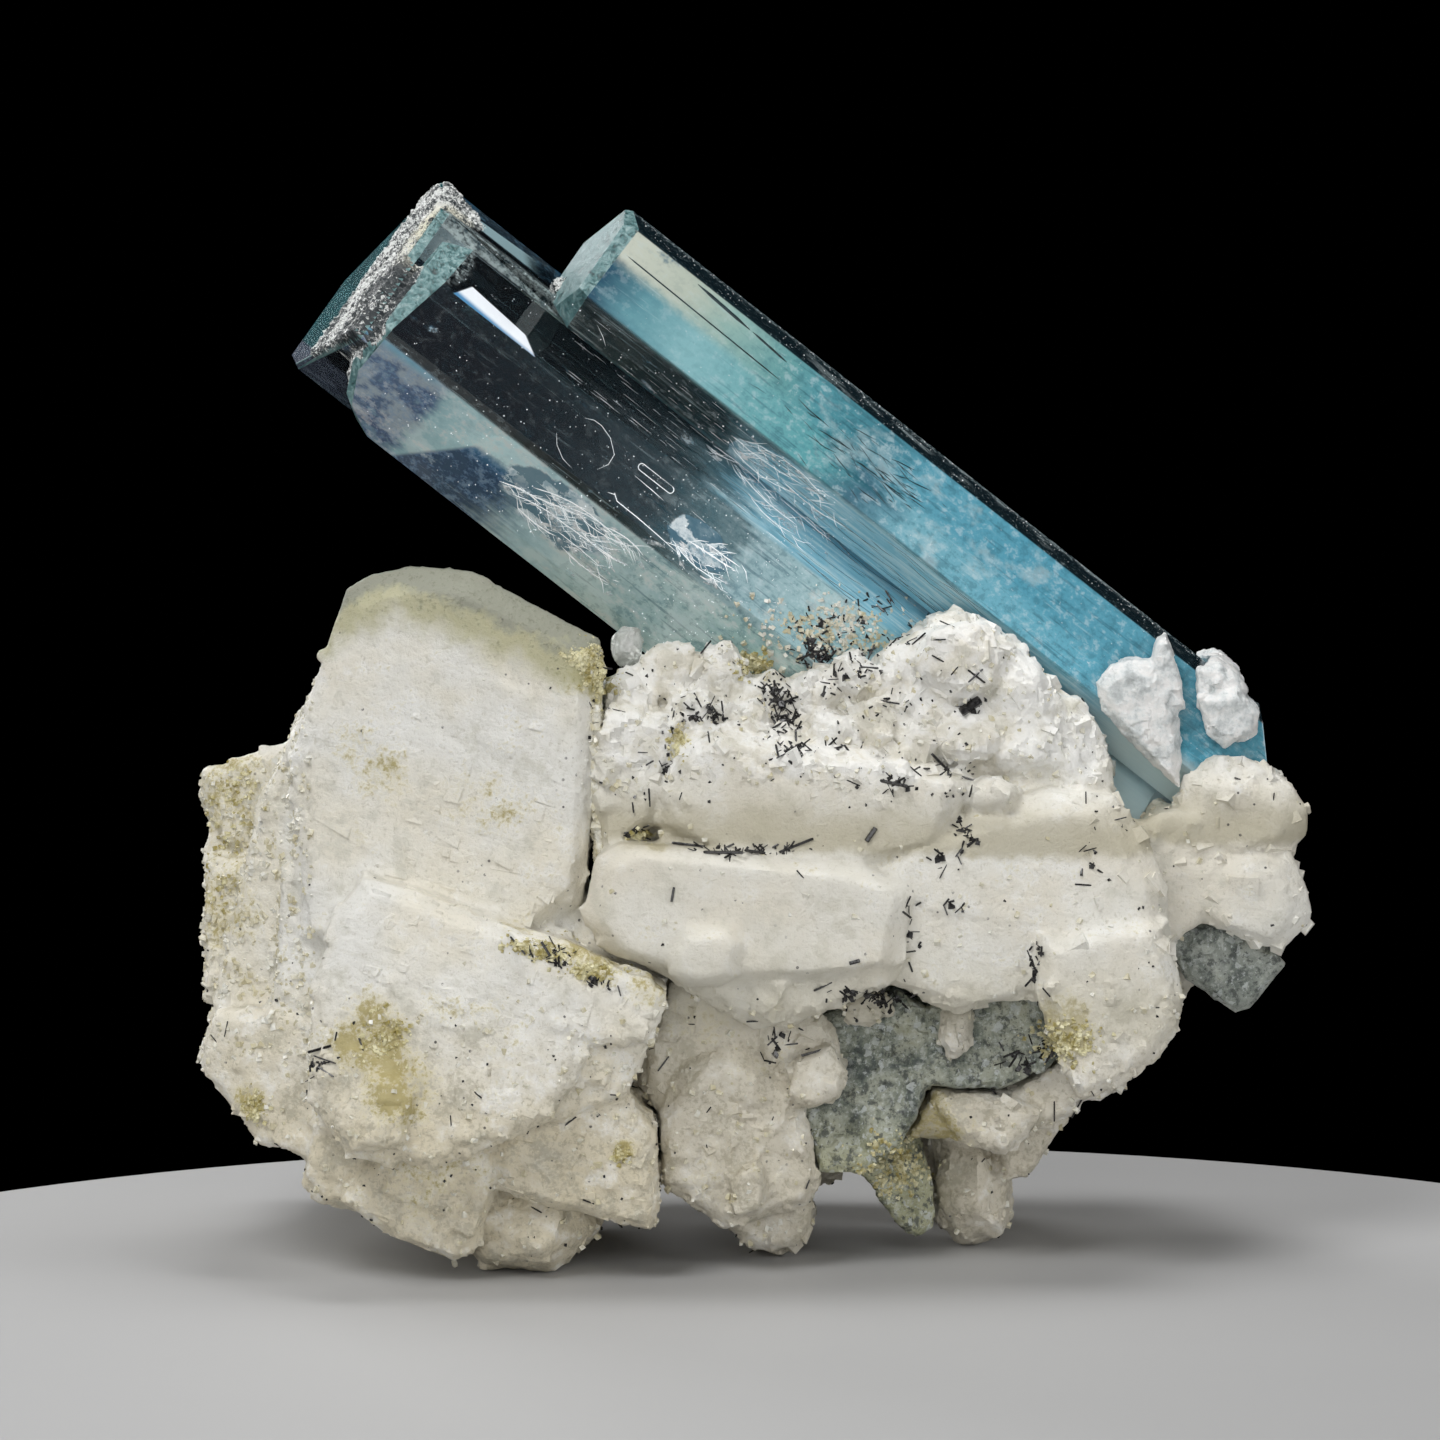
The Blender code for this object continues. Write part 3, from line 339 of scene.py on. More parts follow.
def aquamarine_skin():
    """Clear glass near the tips that clouds over towards the root, in bands along the axis."""
    r = Recipe("aquamarine_crystal")
    across, forward, depth = crystal_point(r)
    threads = r.cloud(r.bundle(across * 3.6, forward * 3.6, depth * 0.22), 1.0, 4.0, 0.62)
    streaks = r.cloud(r.bundle(across * 0.9, forward * 0.9, depth * 0.14), 1.0, 4.0)
    puffs = r.cloud(r.bundle(across, forward, depth * 0.7), 0.55, 5.0, 0.64)
    mist = r.cloud(r.bundle(across, forward, depth * 0.8), 1.9, 4.0, 0.7)
    dust = r.cloud(r.bundle(across, forward, depth * 0.8), 5.5, 3.0, 0.7)
    bend = (mist - 0.5) * 1.4
    shards = r.cells(r.bundle(across * 1.7 + bend, forward * 1.7 - bend, depth * 0.6), 1.0)
    ragged = (puffs - 0.5) * 7 + (streaks - 0.5) * 9 + (threads - 0.5) * 4
    front = forward.step(3.4, 4.4)

    # the sides that are clear, and how far down
    edge_prism = (across + (puffs - 0.5) * 0.25).step(-5.62, -5.30)
    low_side = across.step(-13.80, -14.0) * front
    root = (depth + ragged).step(19.0, 25.5)
    haze = (depth + ragged).step(10.0, 23.0) * 0.34 + across.step(-9.4, -9.9) * 0.17 + 0.07
    specks = dust.step(0.685, 0.725) * depth.step(5.0, 16.0)
    scratches = threads.step(0.63, 0.70) * depth.step(7.0, 17.0) * 0.45

    # the lower sides: a violet window, a pale wedge and a dark window, all painted internal reflections of the tip,
    # then feathers
    violet = low_side * beyond(across, depth, (-14.3, 5.7), (-17.2, 6.1), 0.35) * across.step(-13.95, -14.5)
    window = low_side * beyond(across, depth, (-17.9, 6.9), (-15.3, 9.3), 0.15)
    window = window * (across + (mist - 0.5) * 0.5).step(-15.2, -15.75) * (depth + ragged * 0.5).step(14.5, 11.0)
    feathers = patch(across, depth, (-15.6, 14.8), (1.9, 4.4)).either(patch(across, depth, (-6.6, 23.5), (1.3, 4.2)))
    feathers = feathers.either(patch(across, depth, (-12.2, 22.0), (1.4, 2.6))) * front
    shaded = patch(across, depth, (-3.1, 26.4), (1.7, 3.4)) * edge_prism
    shaded = shaded * (threads * 0.6 + mist * 0.4).step(0.50, 0.44)
    plume = (feathers + (puffs - 0.5) * 2.2).step(0.30, 0.55)

    # how cloudy it is
    dark_side = across.step(-7.25, -7.1) * front * (1 - edge_prism) * (depth + ragged * 0.5).step(21.0, 18.5)
    brink = across.step(-13.25, -13.45) * (1 - low_side) * front * depth.step(21.0, 17.0)
    cloudy = root * 0.95
    for part in (haze, dark_side * 0.85, brink * 0.8, edge_prism * 0.94, low_side * 0.88, specks * 0.8, scratches,
                 plume * 0.94):
        cloudy = cloudy.either(part)
    # painted reflection: a near-black band along the top edge, where the facet would mirror the dark surroundings
    dark_reflection_edge = (across + forward * 0.214).step(0.84, 0.92) * forward.step(4.1, 4.5)
    cloudy = (cloudy * (1 - violet * 0.1)).either(dark_reflection_edge * 0.94).both(0.97)

    # the colours of its three bands by depth
    down = (depth + ragged * 0.35) / 60
    upper = r.ramp(down, EDGE_UPPER)
    lower = r.ramp(down, EDGE_LOWER)
    edge = r.blend((across + depth * 0.03 + (mist - 0.5) * 0.6).step(-2.0, -2.9), upper, lower)
    low = r.paint(
        r.ramp((depth + ragged * 0.2) / 60, LOW),
        (puffs.step(0.46, 0.58) * 0.45, (0.80, 0.92, 0.90)),
        (puffs.step(0.46, 0.38) * 0.4, (0.36, 0.56, 0.60)),
        ((streaks * 0.5 + mist * 0.5).step(0.53, 0.60) * 0.45, (0.86, 0.82, 0.77)),
    )

    # what lies over them
    deep = depth.step(15.0, 22.0)
    gritty = depth.step(23.0, 27.0) * across.step(-7.0, -8.5) * puffs.step(0.52, 0.68) * dust.step(0.42, 0.60)
    ice = r.blend(mist.step(0.40, 0.60), (0.36, 0.50, 0.58), (0.86, 0.94, 0.97))
    ice = r.blend(shards.step(0.40, 0.66), (0.09, 0.19, 0.26), ice)
    # painted light: the left face, turned away from the lamps, is lifted to a lighter blue deeper down
    left_face_painted_light = across.step(-9.7, -9.3) * (1 - edge_prism) * (depth + ragged * 0.6).step(19.0, 23.0)
    body = r.paint(
        r.blend(edge_prism, r.ramp(down, MIDDLE), edge),
        (dark_side.either(brink), r.blend(threads.step(0.52, 0.66), (0.016, 0.022, 0.026), (0.10, 0.13, 0.14))),
        (low_side, low),
        # painted highlight: a bright line along the low side's front edge
        (low_side * across.step(-14.5, -14.0) * depth.step(6.5, 3.5), (0.22, 0.46, 0.60)),
        # painted reflections: the dark and violet windows, internal reflections of the tip
        (window, (0.035, 0.075, 0.15)),
        (window * across.step(-16.3, -15.3) * 0.7, (0.07, 0.24, 0.42)),
        ((window + violet) * (mist * 0.6 + dust * 0.4).step(0.47, 0.56) * 0.4, (0.17, 0.33, 0.54)),
        (mist.step(0.50, 0.36) * (deep * 0.30 + 0.12), (0.05, 0.16, 0.21)),
        (mist.step(0.52, 0.66) * (deep * 0.24 + 0.16), (0.66, 0.80, 0.84)),
        (threads.step(0.44, 0.36) * 0.45 * depth.step(14.0, 20.0), (0.04, 0.13, 0.18)),
        (threads.step(0.60, 0.72) * 0.35, (0.58, 0.74, 0.78)),
        (gritty * 0.6, (0.62, 0.60, 0.55)),
        (plume * 0.85, ice),
        (left_face_painted_light * 0.85, r.blend(threads.step(0.42, 0.66), (0.22, 0.53, 0.68), (0.52, 0.76, 0.84))),
        (shaded * 0.7, (0.03, 0.14, 0.19)),
        (specks, (0.75, 0.82, 0.85)),
    )

    # frosted strips, and light near the tips painted into the colour: a glint and a light streak
    corner = patch(across, depth, (-8.1, 2.0), (1.7, 1.5)) * front
    strip = across.step(-7.2, -7.05) * across.step(-5.9, -6.2) * front * depth.step(9.8, 8.6)
    frost = (corner + strip * 0.8).both(1.0) * (mist * 0.8 + dust * 0.6).step(0.55, 0.85)
    # painted highlight: a bright glint on the bevel near the tip
    glint = across.step(-9.70, -9.64) * (across + depth * 0.073).step(-8.42, -8.50) * front
    glint = glint * (across + depth * 0.6).step(-4.40, -4.55) * (depth - (across + 9.64) * 0.8).step(2.85, 3.0)
    tip_top = across.step(-6.1, -5.9) * depth.step(8.1, 7.9) * depth.step(2.4, 2.8)
    # painted light: a pale streak along the top near the tip
    tip_light = tip_top * (forward + depth * 0.25).step(0.6, 0.9) * forward.step(2.9, 2.3) * depth.step(7.0, 5.6)
    margin = depth.step(0.25, 0.12)
    side = across.step(-16.6, -16.8) * forward.step(3.4, 2.6) * depth.step(6.0, 2.0)
    rim_dust = (dust + forward.step(5.9, 5.0) * 0.12).step(0.60, 0.70)
    # painted light: the shaded underside near the root is lifted to a pale blue
    neck_painted_light = depth.step(43.0, 48.0) * across.step(-4.6, -5.6)
    body = r.paint(
        body,
        (frost, (0.42, 0.50, 0.50)),
        (glint, r.blend((across + depth * 0.04).step(-9.44, -9.15), (0.10, 0.30, 0.54), (0.90, 0.95, 1.0))),
        (tip_top, r.blend(mist.step(0.5, 0.65), (0.02, 0.035, 0.05), (0.10, 0.22, 0.32))),
        (tip_light, (0.50, 0.74, 0.80)),
        (margin, r.blend(puffs.step(0.42, 0.60), (0.035, 0.14, 0.16), (0.07, 0.24, 0.27))),
        (side, r.blend(mist.step(0.45, 0.62), (0.09, 0.11, 0.16), (0.24, 0.29, 0.38))),
        # the painted dark reflection along the top edge, with real dust specks over it
        (dark_reflection_edge, r.blend(rim_dust, (0.008, 0.018, 0.024), (0.26, 0.34, 0.36))),
        (puffs.step(0.52, 0.66) * depth.step(17.0, 24.0) * 0.35, (0.62, 0.76, 0.78)),
        (neck_painted_light * 0.9, (0.74, 0.90, 0.92)),
    )
    for part in (frost * 0.75, glint, tip_top * 0.35, tip_light * 0.9, margin * 0.72, side * 0.6, neck_painted_light * 0.9):
        cloudy = cloudy.either(part)

    clear = r.gloss((0.94, 0.98, 1.0), 0.012, BERYL_IOR, clear=1.0)
    milk = r.gloss(body, 0.14, 1.5, r.bump(threads, 0.04, strength=0.25))
    return r.finish(r.shader_mix(cloudy, clear, milk), r.absorb((0.34, 0.74, 0.80), 32.0))


def frosted_skin():
    """Etched end faces: rough glass with a white bloom."""
    r = Recipe("etched_aquamarine")
    p = r.place()
    bloom = r.cloud(p, 2.2, detail=6.0, rough=0.7, warp=0.8)
    pits = r.cloud(p, 5.0, detail=3.0)
    colour = r.blend(bloom.step(0.42, 0.68), (0.10, 0.28, 0.29), (0.38, 0.54, 0.54))
    colour = r.blend(pits.step(0.40, 0.30) * 0.45, colour, (0.06, 0.15, 0.16))
    relief = r.bump(bloom * 0.7 + pits * 0.6, 0.14, strength=0.8)
    clear = r.gloss((0.7, 0.9, 0.92), 0.3, BERYL_IOR, relief, clear=1.0)
    rind = r.gloss(colour, 0.42, BERYL_IOR, relief)
    return r.finish(r.shader_mix(bloom.step(0.30, 0.55) * 0.8, clear, rind), r.absorb((0.25, 0.72, 0.84), 75.0))


CREAM_CORNER = in_crystal(-7.8, 4.6, -0.8)


def crust_skin():
    """White sugary crust with dark pits."""
    r = Recipe("sugar_crust")
    p = r.place()
    folds = r.cloud(p, 3.6, detail=4.0, rough=0.66, warp=1.2)
    broad = r.cloud(p, 0.45, detail=2.0)
    across, forward, depth = crystal_point(r)
    from_rim = across * 0.309 + forward * 0.951 + 6.45
    reach = from_rim - broad * 3 - across.step(-13.0, -7.5) * 4.5
    white = folds + (broad - 0.5) * 0.5 - reach.step(2.6, 4.6) * 0.12 * depth.step(1.2, 0.6)
    colour = r.blend(white.step(0.43, 0.53), (0.035, 0.045, 0.05), (0.80, 0.82, 0.80))
    colour = r.blend(r.near(p, CREAM_CORNER, 3.2) * folds.step(0.40, 0.5), colour, (0.80, 0.77, 0.62))
    return r.finish(r.gloss(colour, 0.28, 1.55, r.bump(folds, 0.2, strength=0.8)))


def stone_skin(name, pale, warm, low, axes, stains, rim):
    """White stone with fine cleavage. stains are places of ochre, as (centre, radius, strength)."""
    r = Recipe(name)
    p = r.place()
    broad = r.cloud(p, 0.16, detail=3.0)
    patches = r.cloud(p, 0.5, detail=5.0, rough=0.64)
    grain = r.cloud(p, 3.4, detail=4.0, rough=0.72)
    cleaved = r.bundle(r.dot(p, axes[0]) * 0.8, r.dot(p, axes[1]) * 1.6, r.dot(p, axes[2]) * 1.3)
    chips = r.cells(cleaved, 1.0)
    layers = r.cloud(r.vector("MULTIPLY", {0: cleaved, 1: (0.28, 1.25, 1.85)}), 1.0, detail=4.0)
    height = r.dot(p, (0.0, 0.0, 1.0))
    broken = (patches - 0.5) * 2.4 + (grain - 0.5) * 2.0 - 0.5
    spot = None
    for centre, radius, strength in stains:
        one = r.near(p, centre, radius * 1.25) * strength
        spot = spot.either(one) if spot else one
    colour = r.paint(
        r.blend(broad.step(0.38, 0.64), pale, warm),
        # painted shade low down: darker towards the bottom, with a yellower tone
        ((height + patches * 8).step(22.5, 10.0) * 0.8, low),
        (patches.step(0.52, 0.66) * 0.55, (0.90, 0.90, 0.88)),
        (patches.step(0.47, 0.32) * 0.65, (0.58, 0.565, 0.48)),
        (chips.step(0.55, 0.95) * 0.22, (0.62, 0.61, 0.55)),
        (grain.step(0.45, 0.32) * 0.45, (0.48, 0.45, 0.36)),
        (layers.step(0.42, 0.30) * 0.25, (0.55, 0.53, 0.45)),
        ((spot + broken + 0.25).step(0.0, 0.55) * 0.6, (0.66, 0.60, 0.38)),
        ((spot + broken - 0.05).step(0.0, 0.5) * 0.8, (0.36, 0.29, 0.08)),
    )
    dots = r.cells(r.shift(p, (7.0, 3.0, 1.0)), 1.3, out=0)
    dense = r.cloud(p, 0.28, detail=2.0)
    dark = dots.step(0.13, 0.08) * dense.step(0.50, 0.62) * grain.step(0.42, 0.5)
    # brown-grey mottling, more of it towards the bottom
    low_mottle = (patches * 0.5 + grain * 0.5).step(0.50, 0.42) * (height + patches * 6).step(20.0, 12.0)
    colour = r.paint(
        rim(r, p, colour, patches, grain),
        (low_mottle * 0.45, (0.34, 0.30, 0.20)),
        (dark * 0.9, (0.035, 0.03, 0.03)),
    )
    relief = r.bump(grain * 0.75 + chips * 0.35, 0.14)
    return r.finish(r.gloss(colour, 0.30 + patches * 0.25, ALBITE_IOR, relief))


def crest_tint(r, p, colour, patches, grain):
    """The yellow-green translucent crest of the tall block."""
    right_slope = r.dot(p, (0.39, 0.0, 1.0)) + 7.6
    left_slope = r.dot(p, (-0.50, 0.0, 1.0)) - 9.75
    height = right_slope.either(left_slope) + (patches - 0.5) * 4.0
    return r.paint(
        colour,
        (height.step(35.3, 37.4) * 0.85, (0.43, 0.41, 0.23)),
        (height.step(37.6, 38.5) * 0.85, (0.27, 0.28, 0.23)),
        (height.step(36.0, 37.6) * grain.step(0.54, 0.66) * 0.45, (0.13, 0.14, 0.08)),
    )


def slab_tint(r, p, colour, patches, grain):
    """The slabs are warmer on the left, darker with painted shade towards the seams under each slab, and the crest is
    the whitest part.
    """
    height = r.dot(p, (0.03, 0.0, 1.0)) + (patches - 0.5) * 2.0
    leftward = r.dot(p, (1.0, 0.0, 0.0)).step(13.0, 4.0)
    return r.paint(
        colour,
        (leftward * 0.3, (0.60, 0.56, 0.46)),
        # painted shade: the lower part of each slab darkens above the seam beneath it
        (height.step(27.4, 24.6) * height.step(23.4, 24.1) * 0.8, (0.46, 0.42, 0.30)),
        (height.step(19.5, 15.5) * height.step(13.0, 14.5) * 0.45, (0.56, 0.53, 0.42)),
        (height.step(27.0, 28.5) * patches.step(0.40, 0.55) * 0.6, (0.90, 0.90, 0.88)),
    )


def quartz_skin(name, dark, light, clear_share, mottle):
    """Grey quartz with a sparkling broken grain."""
    r = Recipe(name)
    p = r.place()
    patches = r.cloud(p, 0.5, detail=5.0, rough=0.65, warp=0.6)
    grain = r.cloud(p, 4.0, detail=5.0, rough=0.75)
    coarse = r.cloud(p, 1.5, detail=4.0, rough=0.7)
    flakes = r.cells(r.bent(p, 0.15, 3.0), 3.0)
    height = r.dot(p, (0.0, 0.0, 1.0))
    colour = r.paint(
        r.blend(patches.step(0.36, 0.62), dark, light),
        ((height + patches * 5).step(11.5, 8.0) * mottle * 1.6, (0.46, 0.45, 0.24)),
        (patches.step(0.44, 0.34) * mottle * 2, (0.05, 0.06, 0.065)),
        (coarse.step(0.48, 0.38) * 0.8, (0.045, 0.055, 0.05)),
        (coarse.step(0.55, 0.66) * 0.7, (0.58, 0.61, 0.56)),
        (flakes.step(0.72, 0.92) * 0.7, (0.60, 0.64, 0.63)),
        (grain.step(0.55, 0.68) * 0.85, (0.66, 0.70, 0.69)),
        (grain.step(0.44, 0.33) * 0.85, (0.03, 0.035, 0.035)),
        (patches.step(0.58, 0.72) * mottle, (0.34, 0.32, 0.16)),
    )
    relief = r.bump(grain * 0.5 + flakes * 0.5, 0.2)
    solid = r.gloss(colour, 0.22 + grain * 0.2, QUARTZ_IOR, relief)
    clear = r.gloss((0.85, 0.9, 0.9), 0.12, QUARTZ_IOR, relief, clear=1.0)
    return r.finish(r.shader_mix((1 - clear_share) + grain * 0.2, clear, solid))


def milky_skin():
    """White stone that lets some light in, a little blue where it is thin."""
    r = Recipe("milky_albite")
    p = r.place()
    patches = r.cloud(p, 0.8, detail=5.0, rough=0.65)
    grain = r.cloud(p, 4.0, detail=4.0, rough=0.72)
    colour = r.blend(patches.step(0.38, 0.60), (0.77, 0.81, 0.81), (0.91, 0.90, 0.88))
    colour = r.blend(grain.step(0.42, 0.32) * 0.5, colour, (0.56, 0.61, 0.60))
    relief = r.bump(grain, 0.15)
    solid = r.gloss(colour, 0.28, ALBITE_IOR, relief)
    clear = r.gloss((0.90, 0.96, 0.97), 0.25, ALBITE_IOR, relief, clear=1.0)
    return r.finish(r.shader_mix(patches.step(0.30, 0.50) * 0.35 + 0.65, clear, solid))


def plain_skin(name, first, second, roughness, scale=2.0, clear=0.0, painted_glow=0.0):
    """Grains and needles: two tones of one colour, from piece to piece and across each."""
    r = Recipe(name)
    p = r.place()
    colour = r.blend(r.cloud(p, scale, detail=4.0, rough=0.7).step(0.35, 0.65), first, second)
    relief = r.bump(r.cloud(p, 6.0, detail=4.0), 0.05, strength=0.5)
    # painted_glow is painted light: a faint glow that makes a piece look lit where it is shaded
    shine = {"Emission Color": colour, "Emission Strength": painted_glow}
    return r.finish(r.gloss(colour, roughness, 1.55, relief, clear, **shine))


def sheer_skin():
    """The thin flakes of a feather in the glass, thicker in some places than in others."""
    r = Recipe("sheer_flakes")
    tone = r.cloud(r.place(), 1.6, detail=4.0, rough=0.65)
    colour = r.blend(tone.step(0.35, 0.65), (0.66, 0.80, 0.86), (0.98, 0.99, 1.0))
    gap = r.add("ShaderNodeBsdfTransparent", {}, {})
    return r.finish(r.shader_mix(tone.step(0.36, 0.66) * 0.8 + 0.08, gap, r.gloss(colour, 0.2, 1.5)))


# ---------------------------------------------------------------- meshes
def linked(name, data):
    made = bpy.data.objects.new(name, data)
    bpy.context.scene.collection.objects.link(made)
    return made


def settled(made, mesh):
    """The bmesh written into the mesh."""
    made.to_mesh(mesh)
    made.free()
    return mesh


def keep(name, mesh, skins, replaces=()):
    """A finished piece: linked, dressed, riding on the specimen."""
    piece = linked(name, mesh)
    for skin in skins:
        mesh.materials.append(skin)
    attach(piece, "root")
    if replaces:
        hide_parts(*replaces)
    return piece


def welded_copy(node):
    """The CAD solid's mesh as a bmesh in metres, its corners joined."""
    made = bmesh.new()
    made.from_mesh(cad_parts[node].data)
    bmesh.ops.remove_doubles(made, verts=made.verts, dist=1e-7)
    return made


def changed(mesh, *changes):
    """The mesh after modifiers, each given as its kind and its settings."""
    helper = linked("helper", mesh)
    for kind, settings in changes:
        modifier = helper.modifiers.new(kind, kind)
        for name, value in settings.items():
            setattr(modifier, name, value)
    ready = bpy.data.meshes.new_from_object(helper.evaluated_get(bpy.context.evaluated_depsgraph_get()))
    bpy.data.objects.remove(helper)
    bpy.data.meshes.remove(mesh)
    return ready


def remeshed(mesh, voxel):
    """An even mesh around closed shells, voxel millimetres fine. Shells that overlap become one."""
    grid = {"mode": "VOXEL", "voxel_size": voxel * MM, "use_smooth_shade": True}
    return changed(mesh, ("REMESH", grid), ("SMOOTH", {"factor": 0.5, "iterations": 1}))


def rows_of(mesh, what="co"):
    """The mesh's points, or its normals, as rows of three numbers."""
    rows = np.empty(len(mesh.vertices) * 3)
    mesh.vertices.foreach_get(what, rows)
    return rows.reshape(-1, 3)


def roughened(mesh, relief):
    """Moves each point along its normal by relief(point), both in millimetres."""
    points = rows_of(mesh)
    heights = np.array([relief(Vector(p)) for p in points / MM])
    points = points + rows_of(mesh, "normal") * heights[:, None] * MM
    points[:, 2] = np.maximum(points[:, 2], LOWEST * MM)
    mesh.vertices.foreach_set("co", points.ravel())
    mesh.update()
    mesh = lightened(mesh)
    mesh.set_sharp_from_angle(angle=CRISP)
    return mesh


def lightened(mesh):
    """The same surface within MOST_TRIANGLES: edges go first where it is nearly flat."""
    share = MOST_TRIANGLES / sum(len(face.vertices) - 2 for face in mesh.polygons)
    if share < 1:
        mesh = changed(mesh, ("DECIMATE", {"ratio": share}))
        mesh.polygons.foreach_set("use_smooth", [True] * len(mesh.polygons))
    return mesh


def mesh_of(shapes):
    """One mesh from (points in millimetres, faces) shapes, leaving out any that is None."""
    points, faces = [], []
    for corners, sides in filter(None, shapes):
        start = len(points)
        points += [(x * MM, y * MM, max(z, LOWEST) * MM) for x, y, z in corners]
        faces += [[start + corner for corner in side] for side in sides]
    mesh = bpy.data.meshes.new("shapes")
    mesh.from_pydata(points, [], faces)
    return mesh


def solid_shape(node):
    """The CAD solid as one (points in millimetres, faces) shape."""
    made = welded_copy(node)
    shape = [v.co / MM for v in made.verts], [[v.index for v in f.verts] for f in made.faces]
    made.free()
    return shape


def turned(axes, rng, most):
    """The three directions, turned by up to most degrees each way."""
    spin = Matrix.Identity(3)
    for axis in "XYZ":
        spin = spin @ Matrix.Rotation(math.radians(rng.uniform(-most, most)), 3, axis)
    return [spin @ axis for axis in axes]


BOX_FACES = [(0, 1, 3, 2), (4, 6, 7, 5), (0, 4, 5, 1), (2, 3, 7, 6), (0, 2, 6, 4), (1, 5, 7, 3)]


class Skin:
    """A solid's surface, for asking how far outside it a point is, in millimetres."""

    def __init__(self, shape):
        self.tree = BVHTree.FromPolygons(*shape)

    def outside(self, point):
        place, normal, _, gap = self.tree.find_nearest(point)
        return gap if (point - place).dot(normal) > 0 else -gap

    def fitted_block(self, point, normal, halves, axes, proud, rng, skew=0.16):
        """A cleavage block made smaller until no corner stands further out than proud and a little."""
        for _ in range(7):
            block = block_at(point, normal, halves, axes, proud, rng, skew)
            if max(self.outside(corner) for corner in block[0]) < proud + 0.12:
                return block
            halves = [half * 0.75 for half in halves]
        return None


def block_at(point, normal, halves, axes, proud, rng, skew):
    """A cleavage block that stands out of a surface at point by proud."""
    reach = sum(abs(axis.dot(normal)) * half for axis, half in zip(axes, halves))
    middle = point + normal * (proud - reach)
    corners = []
    for signs in itertools.product((-1, 1), repeat=3):
        uneven = [sign * (1 + rng.uniform(-skew, skew)) for sign in signs]
        corners.append(middle + sum((axis * half * k for axis, half, k in zip(axes, halves, uneven)), Vector()))
    return corners, BOX_FACES


def spots(mesh, count, rng, weight=None):
    """count seeded places on a surface, as (point, normal) in millimetres; weight(points, normals) thins them."""
    mesh.calc_loop_triangles()
    ends = np.empty(len(mesh.loop_triangles) * 3, dtype=np.int64)
    mesh.loop_triangles.foreach_get("vertices", ends)
    corners = (rows_of(mesh) / MM)[ends.reshape(-1, 3)]
    cross = np.cross(corners[:, 1] - corners[:, 0], corners[:, 2] - corners[:, 0])
    area = np.linalg.norm(cross, axis=1)
    normals = cross / np.maximum(area, 1e-12)[:, None]
    share = area * weight(corners.mean(axis=1), normals) if weight else area
    found = []
    for index in rng.choices(range(len(share)), weights=share.tolist(), k=count):
        s, t = rng.random(), rng.random()
        if s + t > 1:
            s, t = 1 - s, 1 - t
        a, b, c = corners[index]
        found.append((Vector(a + (b - a) * s + (c - a) * t), Vector(normals[index])))
    return found


def fractal(p, size, octaves=3, seed=0.0):
    """Smooth noise from about -1 to 1 with features about as large as size."""
    return noise.fractal(p / size + Vector((seed, 1.7 * seed, -seed)), 0.8, 2.1, octaves)


def facets(p, size, seed=0.0):
    """Small crystal faces: each cell of a cell pattern is a plane with its own tilt, from about -1 to 1."""
    q = p / size + Vector((seed, seed, seed))
    centre = noise.voronoi(q)[1][0]
    tilt = noise.cell_vector(centre * 9.1)
    return (q - centre).dot(tilt - Vector((0.5, 0.5, 0.5))) * 2


def feldspar_blocks(rng):
    """The feldspar solid with broken cleavage blocks over it: faint plates on its tall face, and ledges below."""
    shape = solid_shape("feldspar_blocks")
    skin = Skin(shape)
    shapes = [shape]
    for point, normal in spots(mesh_of([shape]), 1100, rng):
        tall_face = point.z > 16.5 and normal.y < -0.6 and point.x > -27
        if tall_face:
            if rng.random() < 0.5:
                continue
            halves = (rng.uniform(1.0, 3.2), rng.uniform(0.3, 0.8), rng.uniform(1.2, 4.5))
            scaly = -20 < point.x < -8.5 and point.z < 32
            proud = rng.uniform(0.03, 0.18) if scaly else rng.uniform(0.01, 0.06)
            if scaly:
                halves = tuple(half * 0.7 for half in halves)
        else:
            size = rng.uniform(0.35, 1.0) ** 1.5 * 2.2
            halves = (size * rng.uniform(0.6, 1.4), size * rng.uniform(0.4, 1.0), size * rng.uniform(0.5, 1.2))
            proud = rng.uniform(0.05, 0.42)
        axes = turned(FELDSPAR_AXES, rng, 5 if tall_face else 9)
        shapes.append(skin.fitted_block(point, normal, halves, axes, proud, rng))
    return mesh_of(shapes)


def albite_blocks(rng):
    """The albite solid: plates on its slabs, sugary lumps on its crest, and broken blocks below and at the sides."""
    shape = solid_shape("albite_mass")
    skin = Skin(shape)
    shapes = [shape]
    for point, normal in spots(mesh_of([shape]), 1500, rng):
        slab = 16.5 < point.z < 28.5 and point.y < 0 and point.x < 20 and normal.y < -0.3
        crest = point.z > 25.5 and point.x < 15
        if slab and not crest:
            if rng.random() < 0.6:
                continue
            halves = (rng.uniform(0.8, 3.2), rng.uniform(0.3, 0.8), rng.uniform(0.4, 1.3))
            proud, loose = rng.uniform(0.01, 0.08), 6
        elif crest:
            size = rng.uniform(0.35, 1.15)
            halves = (size * rng.uniform(0.7, 1.3), size * rng.uniform(0.6, 1.0), size * rng.uniform(0.7, 1.3))
            proud, loose = rng.uniform(0.1, 0.6), 70
        else:
            size = rng.uniform(0.5, 1.7)
            halves = (size * rng.uniform(0.7, 1.4), size * rng.uniform(0.5, 1.0), size * rng.uniform(0.6, 1.2))
            proud, loose = rng.uniform(0.04, 0.38), 25
        axes = turned(ALBITE_AXES, rng, loose)
        shapes.append(skin.fitted_block(point, normal, halves, axes, proud, rng, 0.25))
    return mesh_of(shapes)


